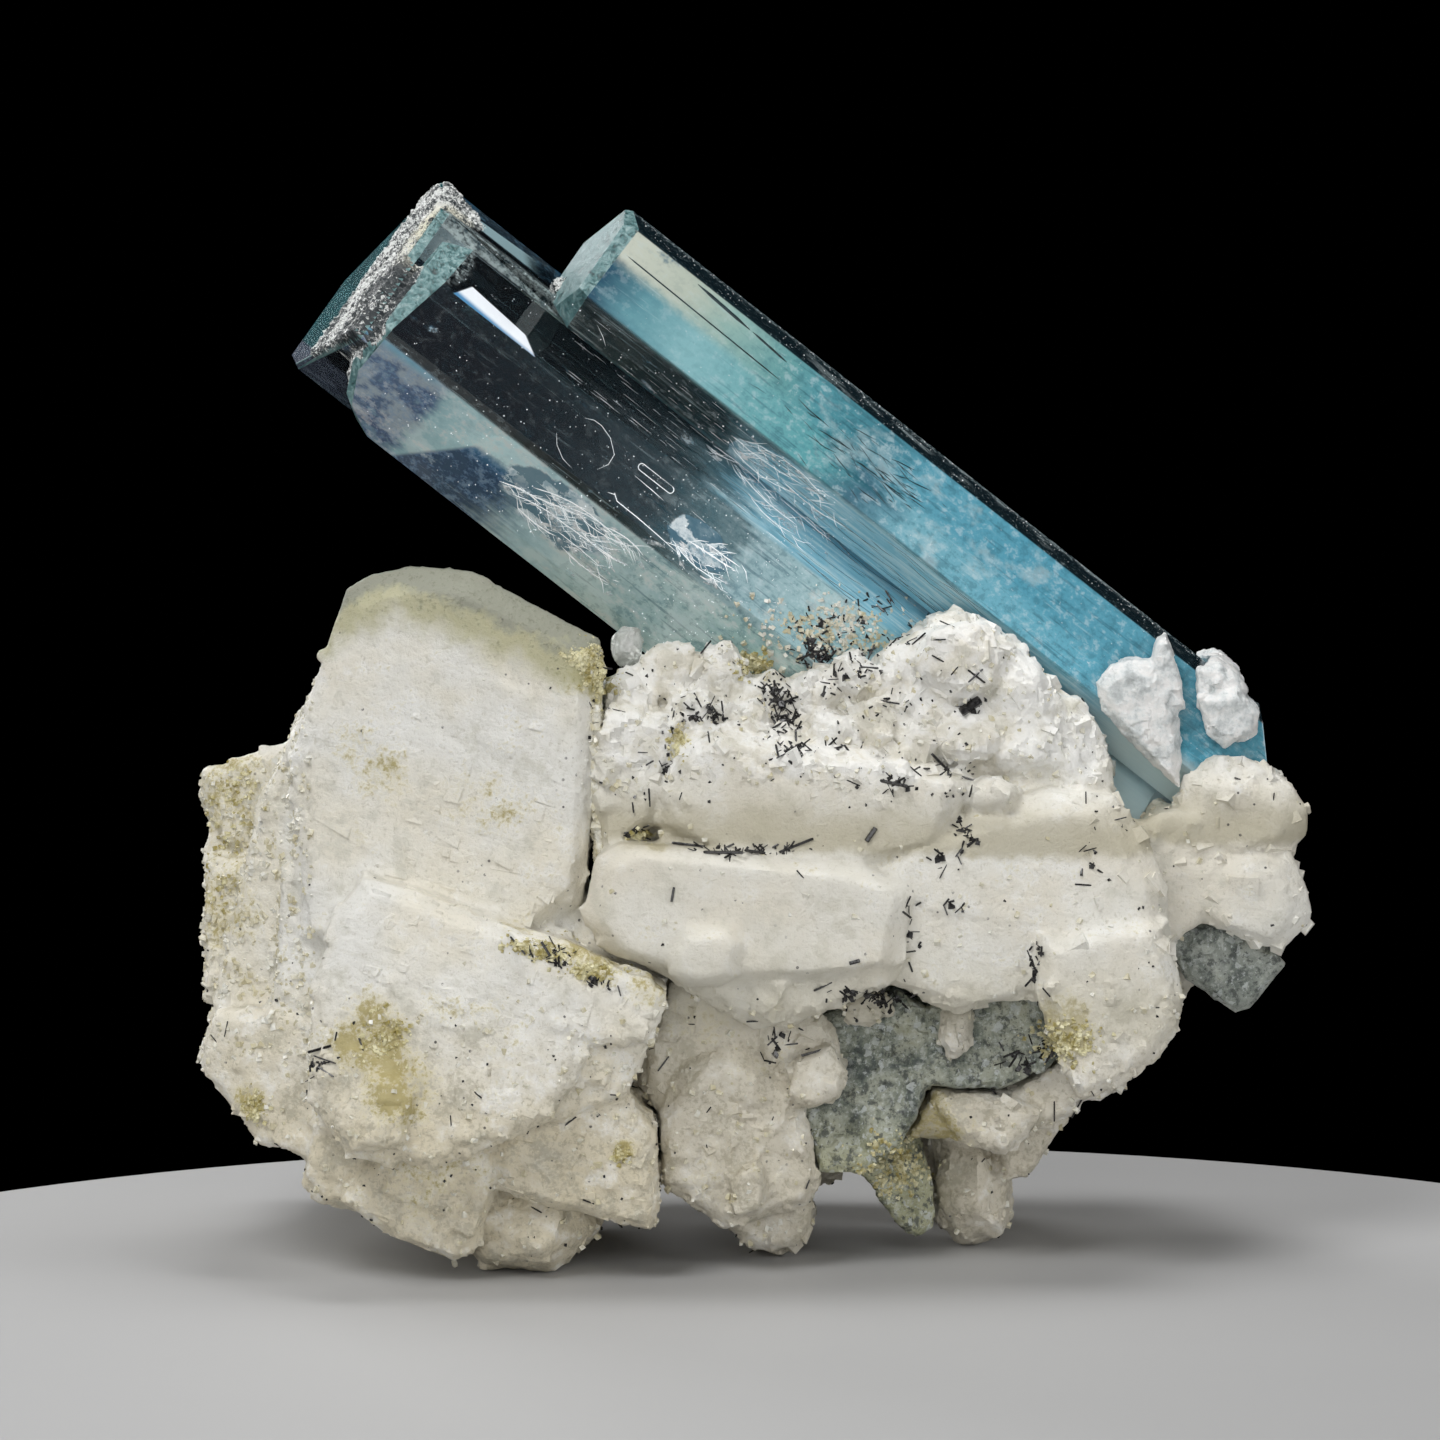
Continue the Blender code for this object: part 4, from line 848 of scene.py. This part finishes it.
def feldspar_relief(p):
    broken = 0.45 if p.y > 4 else 1.0 if p.z < 17 or p.x < -24 else 0.2
    small = 0.10 * facets(p, 1.1) + 0.08 * facets(p, 0.6, 4.0)
    return 0.06 * fractal(p, 3.2) + broken * small + 0.03 * fractal(p, 0.5, 3, 5.0)


def albite_relief(p):
    """Nearly smooth on the slabs, and lumpy on the crest and below."""
    slab = 16.5 < p.z < 27.5 and p.y < 2
    small = 0.12 * facets(p, 1.1, 2.0) + 0.10 * facets(p, 0.6, 5.0)
    if p.z > 26:
        small += 0.20 * facets(p, 1.9, 8.0)
    share = 0.22 if slab else 0.45 if p.y > 4 else 1.0
    return share * small + 0.05 * fractal(p, 3.0) + 0.03 * fractal(p, 0.5, 3, 5.0)


def quartz_relief(p):
    return 0.18 * facets(p, 1.2, 4.0) + 0.12 * facets(p, 0.6, 6.0)


def bud_relief(p):
    return 0.12 * facets(p, 0.9, 4.0) + 0.08 * fractal(p, 0.8, 3, 9.0)


def point_relief(p):
    """The quartz point is smooth on its right and broken where it leaves the rock."""
    return (0.14 if p.x < 25.5 else 0.02) * facets(p, 0.7, 4.0) + 0.02 * fractal(p, 1.2, 2, 9.0)


def crystal_mesh():
    """The crystal group with its edges broken by a narrow bevel."""
    made = welded_copy("aquamarine")
    bmesh.ops.dissolve_limit(made, angle_limit=math.radians(0.8), verts=made.verts, edges=made.edges)
    sharp = [e for e in made.edges if e.is_manifold and e.calc_face_angle(0.0) > math.radians(14)]
    bmesh.ops.bevel(made, geom=sharp, offset=0.06 * MM, segments=2, profile=0.6, affect="EDGES",
                    clamp_overlap=True)
    for face in made.faces:
        face.smooth = False
        middle = face.calc_center_median() / MM - TIP
        tilt = face.normal.dot(ALONG)
        plate_rim = middle.dot(FORWARD) > 1.5 and middle.dot(ACROSS) < -6.6 and tilt > 0.12
        edge_end = middle.dot(ACROSS) > -7.5 and middle.dot(ALONG) < -6.0 and tilt > 0.3
        if middle.dot(ALONG) > -10.0 and (plate_rim or edge_end):
            face.material_index = 1
    return made


def build_crystal(skins):
    mesh = settled(crystal_mesh(), bpy.data.meshes.new("aquamarine_crystal"))
    return keep("aquamarine_crystal", mesh, [skins["aquamarine"], skins["etched"]], ["aquamarine"])


class ShowSide:
    """The crystal's show side: where the place (across, depth) lies on it."""

    def __init__(self):
        self.tree = BVHTree.FromPolygons(*solid_shape("aquamarine"))

    def at(self, across, depth):
        place, normal, _, _ = self.tree.ray_cast(in_crystal(across, 30.0, -depth), -FORWARD)
        return place, normal

    def stroke(self, places, width, lift=0.35):
        """A fine ridge on the surface along (across, depth) places, pointed at both ends."""
        found = [self.at(*place) for place in places]
        if any(place is None for place, _ in found):
            return None
        corners, faces = [], []
        last = len(found) - 1
        for k, (place, normal) in enumerate(found):
            ahead = (found[min(k + 1, last)][0] - found[max(k - 1, 0)][0]).normalized()
            aside = normal.cross(ahead).normalized()
            half = width * (0.12 if k in (0, last) else 0.5)
            corners += [place + aside * half, place + normal * half * lift, place - aside * half, place - normal * half]
        for k, side in itertools.product(range(last), range(4)):
            a, b = 4 * k + side, 4 * k + (side + 1) % 4
            faces.append((a, a + 4, b + 4, b))
        return corners, faces + [(0, 1, 2, 3), (4 * last + 3, 4 * last + 2, 4 * last + 1, 4 * last)]

    def wisp(self, across, depth, length, lean, width, rng, lift=0.35, bend=0.12):
        """A stroke that runs from (across, depth) towards the root, leaning and a little crooked."""
        steps = max(2, int(length / 0.4))
        bend = rng.uniform(-bend, bend)
        places = []
        for k in range(steps + 1):
            t = k / steps
            wander = bend * math.sin(t * math.pi) * length * 0.3 + rng.uniform(-0.02, 0.02)
            places.append((across + lean * t * length + wander, depth + t * length))
        return self.stroke(places, width, lift)


# Feathers in the glass: each spine as its start (across, depth), its length, its lean and its number of barbs.
FEATHERS = [
    (-16.2, 11.4, 2.6, 0.16, 9), (-16.0, 11.9, 4.0, 0.26, 14), (-16.3, 12.4, 3.6, 0.12, 12),
    (-16.7, 13.2, 2.6, 0.02, 8), (-15.3, 13.0, 4.6, 0.14, 14), (-15.2, 14.6, 4.4, 0.10, 14),
    (-14.9, 15.6, 3.2, 0.06, 10), (-15.9, 14.6, 4.6, 0.05, 14), (-16.4, 15.6, 3.2, -0.02, 9),
    (-15.6, 16.6, 3.2, 0.04, 9), (-14.6, 17.4, 2.6, 0.02, 7), (-16.9, 16.4, 3.4, 0.0, 8),
    (-13.2, 20.4, 1.6, 0.22, 7), (-12.9, 20.6, 3.6, -0.06, 12), (-12.4, 21.4, 3.0, 0.10, 10),
    (-11.9, 22.2, 2.4, 0.05, 8), (-7.6, 19.4, 2.2, 0.14, 8), (-7.4, 19.8, 4.6, -0.05, 14),
    (-6.9, 20.4, 4.4, 0.04, 14), (-6.4, 19.8, 4.8, 0.06, 14), (-6.0, 21.0, 4.6, 0.02, 12),
    (-7.7, 21.8, 4.2, -0.08, 12), (-8.3, 22.8, 3.4, -0.06, 10), (-6.6, 23.6, 4.4, 0.02, 12),
    (-7.4, 24.6, 3.6, -0.04, 9),
]
# Scratches and curved lines in the glass, each as its width and its (across, depth) places.
SCRATCHES = [
    (0.05, [(-11.4, 16.9), (-11.45, 18.2), (-11.5, 19.0)]),
    (0.055, [(-13.03, 16.2), (-12.88, 16.6), (-13.1, 16.9), (-13.12, 18.4), (-13.2, 20.0), (-13.30, 21.5)]),
    (0.03, [(-10.60, 12.8), (-10.38, 13.3), (-10.36, 13.8), (-10.6, 14.6), (-11.18, 15.3), (-11.8, 15.35),
            (-12.4, 15.0)]),
    (0.025, [(-12.2, 12.0), (-12.7, 12.4), (-13.1, 13.1), (-13.2, 13.8)]),
    (0.05, [(-11.0, 20.6), (-11.05, 21.6)]),
    (0.05, [(-6.2, 10.2), (-6.5, 10.9), (-6.8, 11.4)]),
    (0.05, [(-6.1, 14.6), (-6.15, 15.4)]),
]


def pill(middle, half, length):
    """The outline of a long bubble, as (across, depth) places."""
    u, d = middle
    places = []
    for k in range(26):
        angle = math.tau * (k % 25) / 24
        end = length / 2 - half
        places.append((u + half * math.cos(angle), d + half * math.sin(angle) + math.copysign(end, math.sin(angle))))
    return places


def build_inclusions(skins):
    """In white the feathers, a long bubble, scratches and specks, and in the dark the fine lines along the prisms."""
    rng = random.Random(23)
    show = ShowSide()
    white, flakes = [], []

    def add_speck(u, d, least, most):
        place, _ = show.at(u, d)
        if place is not None:
            white.append(grain(place, rng.uniform(least, most), rng))

    for across, depth, length, lean, barbs in FEATHERS:
        white.append(show.wisp(across, depth, length, lean, rng.uniform(0.05, 0.09), rng, bend=0.3))
        for _ in range(barbs):
            t = rng.random()
            u, d = across + lean * t * length + rng.gauss(0, 0.12), depth + t * length
            side = rng.choice((-1, 1))
            reach, slant = rng.uniform(0.25, 1.3), side * rng.uniform(0.15, 0.75)
            white.append(show.wisp(u, d, reach, slant, rng.uniform(0.03, 0.065), rng, bend=0.6))
            if rng.random() < 0.45:
                u, d = u + rng.gauss(0, 0.3), d + rng.gauss(0, 0.5)
                flakes.append(show.wisp(u, d, reach, slant * 0.5, rng.uniform(0.12, 0.40), rng, 0.12))
    keep("aquamarine_flakes", mesh_of(flakes), [skins["flake"]])
    white.append(show.stroke(pill((-10.80, 17.95), 0.20, 2.4), 0.05))
    white += [show.stroke(line, width) for width, line in SCRATCHES]
    for _ in range(70):
        u, d = rng.uniform(-9.4, -5.6), rng.uniform(9.5, 27.0)
        line = [(u, d), (u + 0.01, d + rng.uniform(0.1, 0.4)), (u, d + rng.uniform(0.5, 1.6))]
        white.append(show.stroke(line, rng.uniform(0.015, 0.035)))
    for _ in range(620):
        add_speck(rng.uniform(-17.8, -5.5), 2.0 + 26 * rng.random() ** 0.7, 0.02, 0.055)
    for _ in range(420):
        add_speck(-0.05 - 0.6 * rng.random() ** 2.5, rng.uniform(9.0, 50.0), 0.03, 0.09)
    keep("aquamarine_feathers", mesh_of(white), [skins["feather"]])
    dark = [
        show.stroke([(-2.22 - 0.016 * k, 8.7 + 0.94 * k) for k in range(13)], 0.085),
        show.stroke([(-1.05 - 0.05 * k, 13.2 + 0.95 * k) for k in range(5)], 0.19),
        show.stroke([(-1.25 - 0.03 * k, 17.2 + 0.5 * k) for k in range(6)], 0.13),
    ]
    for _ in range(70):
        u, d = rng.gauss(-3.0, 0.7), rng.gauss(26.0, 2.2)
        dark.append(show.wisp(u, d, rng.uniform(0.3, 1.8), rng.gauss(0, 0.22), rng.uniform(0.03, 0.07), rng))
    for _ in range(60):
        u, d = rng.uniform(-9.4, -5.4), rng.uniform(14.0, 34.0)
        dark.append(show.wisp(u, d, rng.uniform(1.0, 6.0), rng.gauss(0, 0.01), rng.uniform(0.02, 0.05), rng))
    keep("aquamarine_hairlines", mesh_of(dark), [skins["hairline"]])


def inside(outline, x, y):
    """How far (x, y) is inside a closed outline, or a number below 0 outside it."""
    crossings, nearest = False, 1e9
    for (x0, y0), (x1, y1) in zip(outline, outline[1:] + outline[:1]):
        if (y0 > y) != (y1 > y) and x < x0 + (x1 - x0) * (y - y0) / (y1 - y0):
            crossings = not crossings
        dx, dy = x1 - x0, y1 - y0
        t = min(1.0, max(0.0, ((x - x0) * dx + (y - y0) * dy) / (dx * dx + dy * dy)))
        nearest = min(nearest, math.hypot(x - x0 - t * dx, y - y0 - t * dy))
    return nearest if crossings else -nearest


def crust_sheet(tree, outline, start, away, step=0.11):
    """A thin crinkled sheet over an outline; start(a, b) is a point above it, and away points down to the crystal."""
    columns, rows = [
        range(int(min(side) / step) - 1, int(max(side) / step) + 2) for side in zip(*outline)
    ]
    points, index, faces = [], {}, []
    for i, j in itertools.product(columns, rows):
        depth_in = inside(outline, i * step, j * step)
        place = tree.ray_cast(start(i * step, j * step), away)[0] if depth_in > -0.3 else None
        if place is None:
            continue
        ragged = depth_in + 0.35 * fractal(place, 0.8, 3, 4.0)
        if ragged < 0:
            continue
        crinkle = 0.10 * facets(place, 0.42, 3.0) + 0.17 * (1 - 2.2 * abs(fractal(place, 0.55, 3, 2.0)))
        height = min(1.0, ragged / 0.25) * max(0.02, 0.06 + crinkle)
        index[i, j] = len(points)
        points += [place - away * height, place + away * 0.2]
    for i, j in index:
        ring = [(i, j), (i + 1, j), (i + 1, j + 1), (i, j + 1)]
        if not all(corner in index for corner in ring):
            continue
        top = tuple(index[corner] for corner in ring)
        falls = [points[corner].dot(away) for corner in top]
        if max(falls) - min(falls) < 1.3:
            faces += [top, tuple(corner + 1 for corner in reversed(top))]
    edges = {edge: True for face in faces[::2] for edge in zip(face, face[1:] + face[:1])}
    faces += [(b, a, a + 1, b + 1) for a, b in edges if (b, a) not in edges]
    return points, faces


def build_crust(skins):
    """The sugary crust on the first prism's end, which wraps over the corner of its top side."""
    tree = ShowSide().tree
    end = [(-5.3, -4.5), (-12.0, -2.6), (-17.4, -0.9), (-17.2, 2.0), (-16.9, 5.2), (-16.2, 6.3), (-13.8, 8.6),
           (-9.9, 7.4), (-9.5, 5.4), (-7.6, 4.4), (-6.2, 4.0), (-5.2, 3.0)]
    top = [(-2.8, -0.2), (4.2, -0.2), (4.5, 1.4), (3.0, 2.4), (1.0, 3.1), (-1.0, 2.0), (-2.6, 1.0)]
    mesh = mesh_of([
        crust_sheet(tree, end, lambda u, v: in_crystal(u, v, 3.0), -ALONG),
        crust_sheet(tree, top, lambda v, d: in_crystal(-3.0, v, -d), -ACROSS),
    ])
    made = bmesh.new()
    made.from_mesh(mesh)
    bmesh.ops.recalc_face_normals(made, faces=made.faces)
    for face in made.faces:
        face.smooth = True
    settled(made, mesh).set_sharp_from_angle(angle=math.radians(30.0))
    keep("sugar_crust", mesh, [skins["crust"]])


def build_stone(name, node, voxel, relief, skin, mesh=None):
    mesh = remeshed(mesh or mesh_of([solid_shape(node)]), voxel)
    return keep(name, roughened(mesh, relief), [skin], [node])


# ---------------------------------------------------------------- grains and needles
class Front:
    """Finds the place on the pieces that is seen at (x, z): millimetres right of and above the middle of the view."""

    def __init__(self, pieces):
        points, faces = [], []
        for piece in pieces:
            start = len(points)
            points += [v.co / MM for v in piece.data.vertices]
            faces += [[start + corner for corner in f.vertices] for f in piece.data.polygons]
        self.tree = BVHTree.FromPolygons(points, faces)

    def at(self, x, z):
        target = EYE_LEVEL + Vector((x, 0, 0)) + UPWARD * z
        return self.tree.ray_cast(EYE, (target - EYE).normalized())[:2]

    def around(self, x, z, wide, high, count, rng):
        """count seeded tries around (x, z): the number, place and normal of each that meets a piece."""
        for k in range(count):
            place, normal = self.at(x + rng.gauss(0, wide), z + rng.gauss(0, high))
            if place is not None:
                yield k, place, normal


def needle(point, along, length, width, rng, sides=6):
    """A thin prism with blunt ends, centred on point."""
    along = along.normalized()
    aside = along.orthogonal().normalized()
    over = along.cross(aside)
    start = rng.uniform(0, math.tau)
    corners, faces = [], []
    for (end, share), k in itertools.product(((-0.5, 0.8), (-0.46, 1.0), (0.46, 1.0), (0.5, 0.7)), range(sides)):
        angle = start + math.tau * k / sides
        around = (aside * math.cos(angle) + over * math.sin(angle)) * width * share / 2
        corners.append(point + along * length * end + around)
    for ring, k in itertools.product(range(3), range(sides)):
        a, b = ring * sides + k, ring * sides + (k + 1) % sides
        faces.append((a, b, b + sides, a + sides))
    faces.append(tuple(reversed(range(sides))))
    faces.append(tuple(range(3 * sides, 4 * sides)))
    return corners, faces


def grain(point, size, rng):
    """A broken crystal grain."""
    axes = turned((Vector((1, 0, 0)), Vector((0, 1, 0)), Vector((0, 0, 1))), rng, 90)
    halves = [size * rng.uniform(0.35, 0.65) for _ in axes]
    return block_at(point, Vector((0, 0, 1)), halves, axes, 0.0, rng, 0.3)


def lying(normal, rng, most):
    """A direction along a surface, lifted by up to most degrees."""
    flat = normal.orthogonal().normalized()
    flat = Matrix.Rotation(rng.uniform(0, math.tau), 3, normal) @ flat
    return flat * math.cos(math.radians(rng.uniform(0, most))) + normal * math.sin(math.radians(rng.uniform(0, most)))


def build_crystals(pieces, skins):
    """Small sharp blocks on the stones: thin cleavage flakes on the feldspar, and stubby crystals on the albite."""
    rng = random.Random(77)
    feldspar, albite = [Skin(solid_shape(node)) for node in ("feldspar_blocks", "albite_mass")]
    flakes, stubs = [], []
    for point, normal in spots(pieces[0].data, 1500, rng, flake_share):
        size = 0.25 + 1.1 * rng.random() ** 2
        halves = (size * rng.uniform(0.5, 1.0), 0.2, size * rng.uniform(0.3, 0.9))
        axes = turned(FELDSPAR_AXES, rng, 7)
        flakes.append(feldspar.fitted_block(point, normal, halves, axes, rng.uniform(0.02, 0.10), rng, 0.4))
    for point, normal in spots(pieces[1].data, 1700, rng, stub_share):
        size = 0.15 + 0.55 * rng.random() ** 2.5
        halves = (size * rng.uniform(0.6, 1.4), size * rng.uniform(0.4, 0.9), size * rng.uniform(0.6, 1.2))
        axes = turned(ALBITE_AXES, rng, 45)
        stubs.append(albite.fitted_block(point, normal, halves, axes, size * rng.uniform(0.2, 0.7), rng, 0.2))
    keep("feldspar_flakes", mesh_of(flakes), [skins["feldspar"]])
    keep("albite_stubs", mesh_of(stubs), [skins["albite"]])


def flake_share(points, normals):
    """Flakes lie low on the tall face and on the broken blocks below it."""
    x, y, z = points.T
    share = 0.3 + 1.6 * ((z < 31) & (x > -21) & (y < 0)) + 0.8 * (z < 17)
    return share * (z > 0.6) * np.where(z > 33.5, 0.1, 1.0)


def stub_share(points, normals):
    """Stubs crowd on the crest and the right lumps, and leave the slabs nearly bare."""
    x, y, z = points.T
    share = 0.5 + 4.0 * (z > 26.5) + 2.0 * ((x > 17) & (z > 17)) + 0.8 * (z < 15)
    slab = (z > 15) & (z < 26) & (x < 17) & (y < 0)
    return np.where(slab, 0.06, share) * (z > 0.6)


def needle_share(points, normals):
    """Needles crowd on the albite crest and in its hollows, and are rare at the back."""
    x, y, z = points.T
    share = 0.2 + 0.5 * (z < 15)
    share = share + 3.5 * ((z > 26) & (x > -9) & (x < 12) & (y < 6)) + 1.2 * ((z > 24) & (x > 17))
    share = share * np.where((z > 18) & (x < -9), 0.08, 1.0)
    return share * np.where(y > 6, 0.5, 1.0)


def sugar_share(points, normals):
    """Sugar grains lie on the left side faces, in the seams and low down."""
    x, y, z = points.T
    share = 0.15 + 0.5 * (z < 16) + 3.5 * ((x < -24) & (z > 12)) + 1.2 * ((z > 27) & (x > -9))
    return share * np.where((z > 18) & (x < -9) & (x > -24), 0.05, 1.0) * (z > 0.6) * (normals[:, 2] > -0.35)


def build_needles(stones, front, skin):
    """Black needles and crumbs: sown over the stones, then the big ones, then the clumps."""
    rng = random.Random(41)
    shapes = []
    for piece, count in zip(stones, (90, 260)):
        for point, normal in spots(piece.data, count, rng, needle_share):
            length = rng.uniform(0.2, 1.0) ** 1.8 * 1.3
            width = rng.uniform(0.05, 0.10) + 0.02 * length
            shapes.append(needle(point + normal * width * 0.25, lying(normal, rng, 22), length, width, rng))
    for piece, count in zip(stones, (420, 700)):
        for point, normal in spots(piece.data, count, rng, needle_share):
            shapes.append(grain(point, rng.uniform(0.04, 0.15), rng))
    for x, z, turn, length, width in BIG_NEEDLES:
        place, normal = front.at(x, z)
        if place is None:
            continue
        angle = math.radians(turn)
        wanted = Vector((math.cos(angle), 0, 0)) + UPWARD * math.sin(angle)
        flat = wanted - normal * wanted.dot(normal) * 0.9
        shapes.append(needle(place + normal * width * 0.3, flat, length, width, rng))
    for x, z, wide, high, count in NEEDLE_CLUMPS:
        for k, place, normal in front.around(x, z, wide * 0.4, high * 0.4, count, rng):
            if k % 3 == 0:
                shapes.append(grain(place, rng.uniform(0.08, 0.30), rng))
            length = 0.25 + 1.1 * rng.random() ** 2
            shapes.append(needle(place, lying(normal, rng, 45), length, rng.uniform(0.05, 0.14), rng))
    keep("schorl_needles", mesh_of(shapes), [skin])


def build_sugar(stones, front, skin):
    """Albite grains: on the crystal above the crest, in the joint between the stones, and sown over both."""
    rng = random.Random(7)
    shapes = []
    for _, place, _ in front.around(6.2, 5.0, 2.2, 0.9, 420, rng):
        shapes.append(grain(place, rng.uniform(0.06, 0.28), rng))
    for _ in range(1500):
        up = rng.uniform(16.5, 31.5)
        place = Vector((JOINT[0] + JOINT[1] * (up - 24) + rng.gauss(0, 0.10), rng.uniform(-9.9, -8.6), up))
        shapes.append(grain(place, rng.uniform(0.15, 0.42), rng))
    for piece, count in zip(stones, (3600, 2600)):
        for point, normal in spots(piece.data, count, rng, sugar_share):
            size = rng.uniform(0.10, 0.30)
            shapes.append(grain(point - normal * size * 0.12, size, rng))
    keep("sugar_grains", mesh_of(shapes), [skin])


def build_ochre(front, skin):
    rng = random.Random(19)
    shapes = []
    for x, z, wide, high, count in OCHRE_CLUMPS:
        for _, place, _ in front.around(x, z, wide * 0.38, high * 0.38, count * 2, rng):
            shapes.append(grain(place, rng.uniform(0.06, 0.24), rng))
    keep("ochre_grains", mesh_of(shapes), [skin])


# ---------------------------------------------------------------- light, floor and camera
MIDDLE_OF_SPECIMEN = Vector((0.0, 0.0, 0.03))
# Each as its name, its place in metres, its width and height in metres and its power in watts.
SOFTBOXES = [
    ("key", (-0.20, -0.30, 0.44), 0.24, 0.24, 1.65),
    ("fill", (-0.06, -0.62, 0.10), 0.44, 0.30, 1.0),
    ("front", (0.10, -0.55, 0.26), 0.22, 0.22, 0.30),
    ("right", (0.54, -0.21, 0.18), 0.20, 0.20, 0.95),
    ("behind", (-0.35, 0.50, 0.26), 0.30, 0.30, 1.5),
    ("top", (0.04, 0.08, 0.46), 0.24, 0.16, 0.95),
    ("left_strip", (-0.42, 0.06, 0.16), 0.10, 0.36, 0.35),
]


def studio():
    """The softboxes, all turned to the specimen, and darkness around them."""
    for name, place, width, height, power in SOFTBOXES:
        light = bpy.data.lights.new(name, "AREA")
        light.shape = "RECTANGLE"
        light.size, light.size_y = width, height
        light.energy = power
        lamp = linked(name, light)
        lamp.location = place
        lamp.rotation_euler = (MIDDLE_OF_SPECIMEN - Vector(place)).to_track_quat("-Z", "Y").to_euler()
    world = bpy.data.worlds.new("studio")
    world.use_nodes = True
    world.node_tree.nodes["Background"].inputs["Color"].default_value = (0.0, 0.0, 0.0, 1.0)
    bpy.context.scene.world = world
    bpy.context.scene.view_settings.view_transform = "Standard"


def floor():
    """A small pale disc, its top a hair under the specimen's feet."""
    radius, depth = 0.066, 0.004
    made = bmesh.new()
    bmesh.ops.create_cone(made, cap_ends=True, segments=128, radius1=radius, radius2=radius, depth=depth)
    bmesh.ops.translate(made, verts=made.verts, vec=(0, -0.034, -0.00205))
    mesh = settled(made, bpy.data.meshes.new("floor"))
    piece = linked("floor", mesh)
    r = Recipe("floor")
    colour = r.blend(r.cloud(r.place(), 0.02), (0.42, 0.42, 0.42), (0.45, 0.45, 0.45))
    mesh.materials.append(r.finish(r.gloss(colour, 0.6, 1.5)))


def camera():
    """Eight degrees above the horizon, 700 mm from the middle of the specimen."""
    data = bpy.data.cameras.new("camera")
    data.sensor_width = 36.0
    data.lens = data.sensor_width * EYE_DISTANCE / VIEW_WIDTH
    data.clip_start = 0.01
    holder = linked("camera", data)
    holder.location = EYE * MM
    holder.rotation_euler = (math.pi / 2 - TILT, 0.0, 0.0)
    bpy.context.scene.camera = holder


def main():
    skins = {
        "aquamarine": aquamarine_skin(),
        "etched": frosted_skin(),
        "crust": crust_skin(),
        # the third colour of each stone is painted shade low down, with a yellower tone
        "feldspar": stone_skin("feldspar_stone", (0.80, 0.79, 0.74), (0.79, 0.75, 0.64), (0.60, 0.53, 0.37),
                               FELDSPAR_AXES, FELDSPAR_STAINS, crest_tint),
        "albite": stone_skin("albite_stone", (0.80, 0.785, 0.72), (0.77, 0.73, 0.63), (0.57, 0.52, 0.41),
                             ALBITE_AXES, ALBITE_STAINS, slab_tint),
        "smoky": quartz_skin("smoky_quartz", (0.12, 0.15, 0.12), (0.44, 0.46, 0.37), 0.12, 0.35),
        "quartz": quartz_skin("grey_quartz", (0.19, 0.22, 0.19), (0.42, 0.45, 0.40), 0.3, 0.3),
        "clear": plain_skin("clear_quartz", (0.60, 0.62, 0.58), (0.86, 0.87, 0.84), 0.12, 1.4, clear=0.45),
        "sugar": plain_skin("albite_sugar", (0.68, 0.62, 0.42), (0.88, 0.87, 0.80), 0.25, scale=0.8, clear=0.15),
        "ochre": plain_skin("ochre_sugar", (0.34, 0.28, 0.08), (0.78, 0.74, 0.50), 0.35, 1.6),
        "milky": milky_skin(),
        # painted light: the feathers glow a little, standing in for light caught inside the crystal
        "feather": plain_skin("white_feathers", (0.84, 0.90, 0.93), (0.98, 0.99, 1.0), 0.12, 1.2, painted_glow=0.22),
        "flake": sheer_skin(),
        "hairline": plain_skin("dark_hairlines", (0.004, 0.014, 0.018), (0.014, 0.045, 0.055), 0.3),
        "schorl": plain_skin("black_schorl", (0.010, 0.010, 0.011), (0.030, 0.028, 0.028), 0.22),
    }
    crystal = build_crystal(skins)
    build_inclusions(skins)
    build_crust(skins)
    rng = random.Random(3)
    feldspar = build_stone("feldspar_stone", "feldspar_blocks", STONE_VOXEL, feldspar_relief, skins["feldspar"],
                           feldspar_blocks(rng))
    albite = build_stone("albite_stone", "albite_mass", STONE_VOXEL, albite_relief, skins["albite"],
                         albite_blocks(rng))
    smoky = build_stone("smoky_quartz_mass", "smoky_quartz", STONE_VOXEL, quartz_relief, skins["smoky"])
    point = build_stone("grey_quartz_point", "quartz_point", SMALL_VOXEL, point_relief, skins["quartz"])
    build_stone("clear_quartz_grain", "quartz_grain", 0.1, bud_relief, skins["clear"])
    bud = build_stone("albite_bud_stone", "albite_bud", SMALL_VOXEL, bud_relief, skins["milky"])
    knob = build_stone("albite_knob_stone", "albite_knob", SMALL_VOXEL, bud_relief, skins["milky"])
    build_crystals([feldspar, albite], skins)
    front = Front([crystal, feldspar, albite, smoky, point, bud, knob])
    build_needles([feldspar, albite], front, skins["schorl"])
    build_sugar([feldspar, albite], front, skins["sugar"])
    build_ochre(front, skins["ochre"])
    studio()
    floor()
    camera()


main()
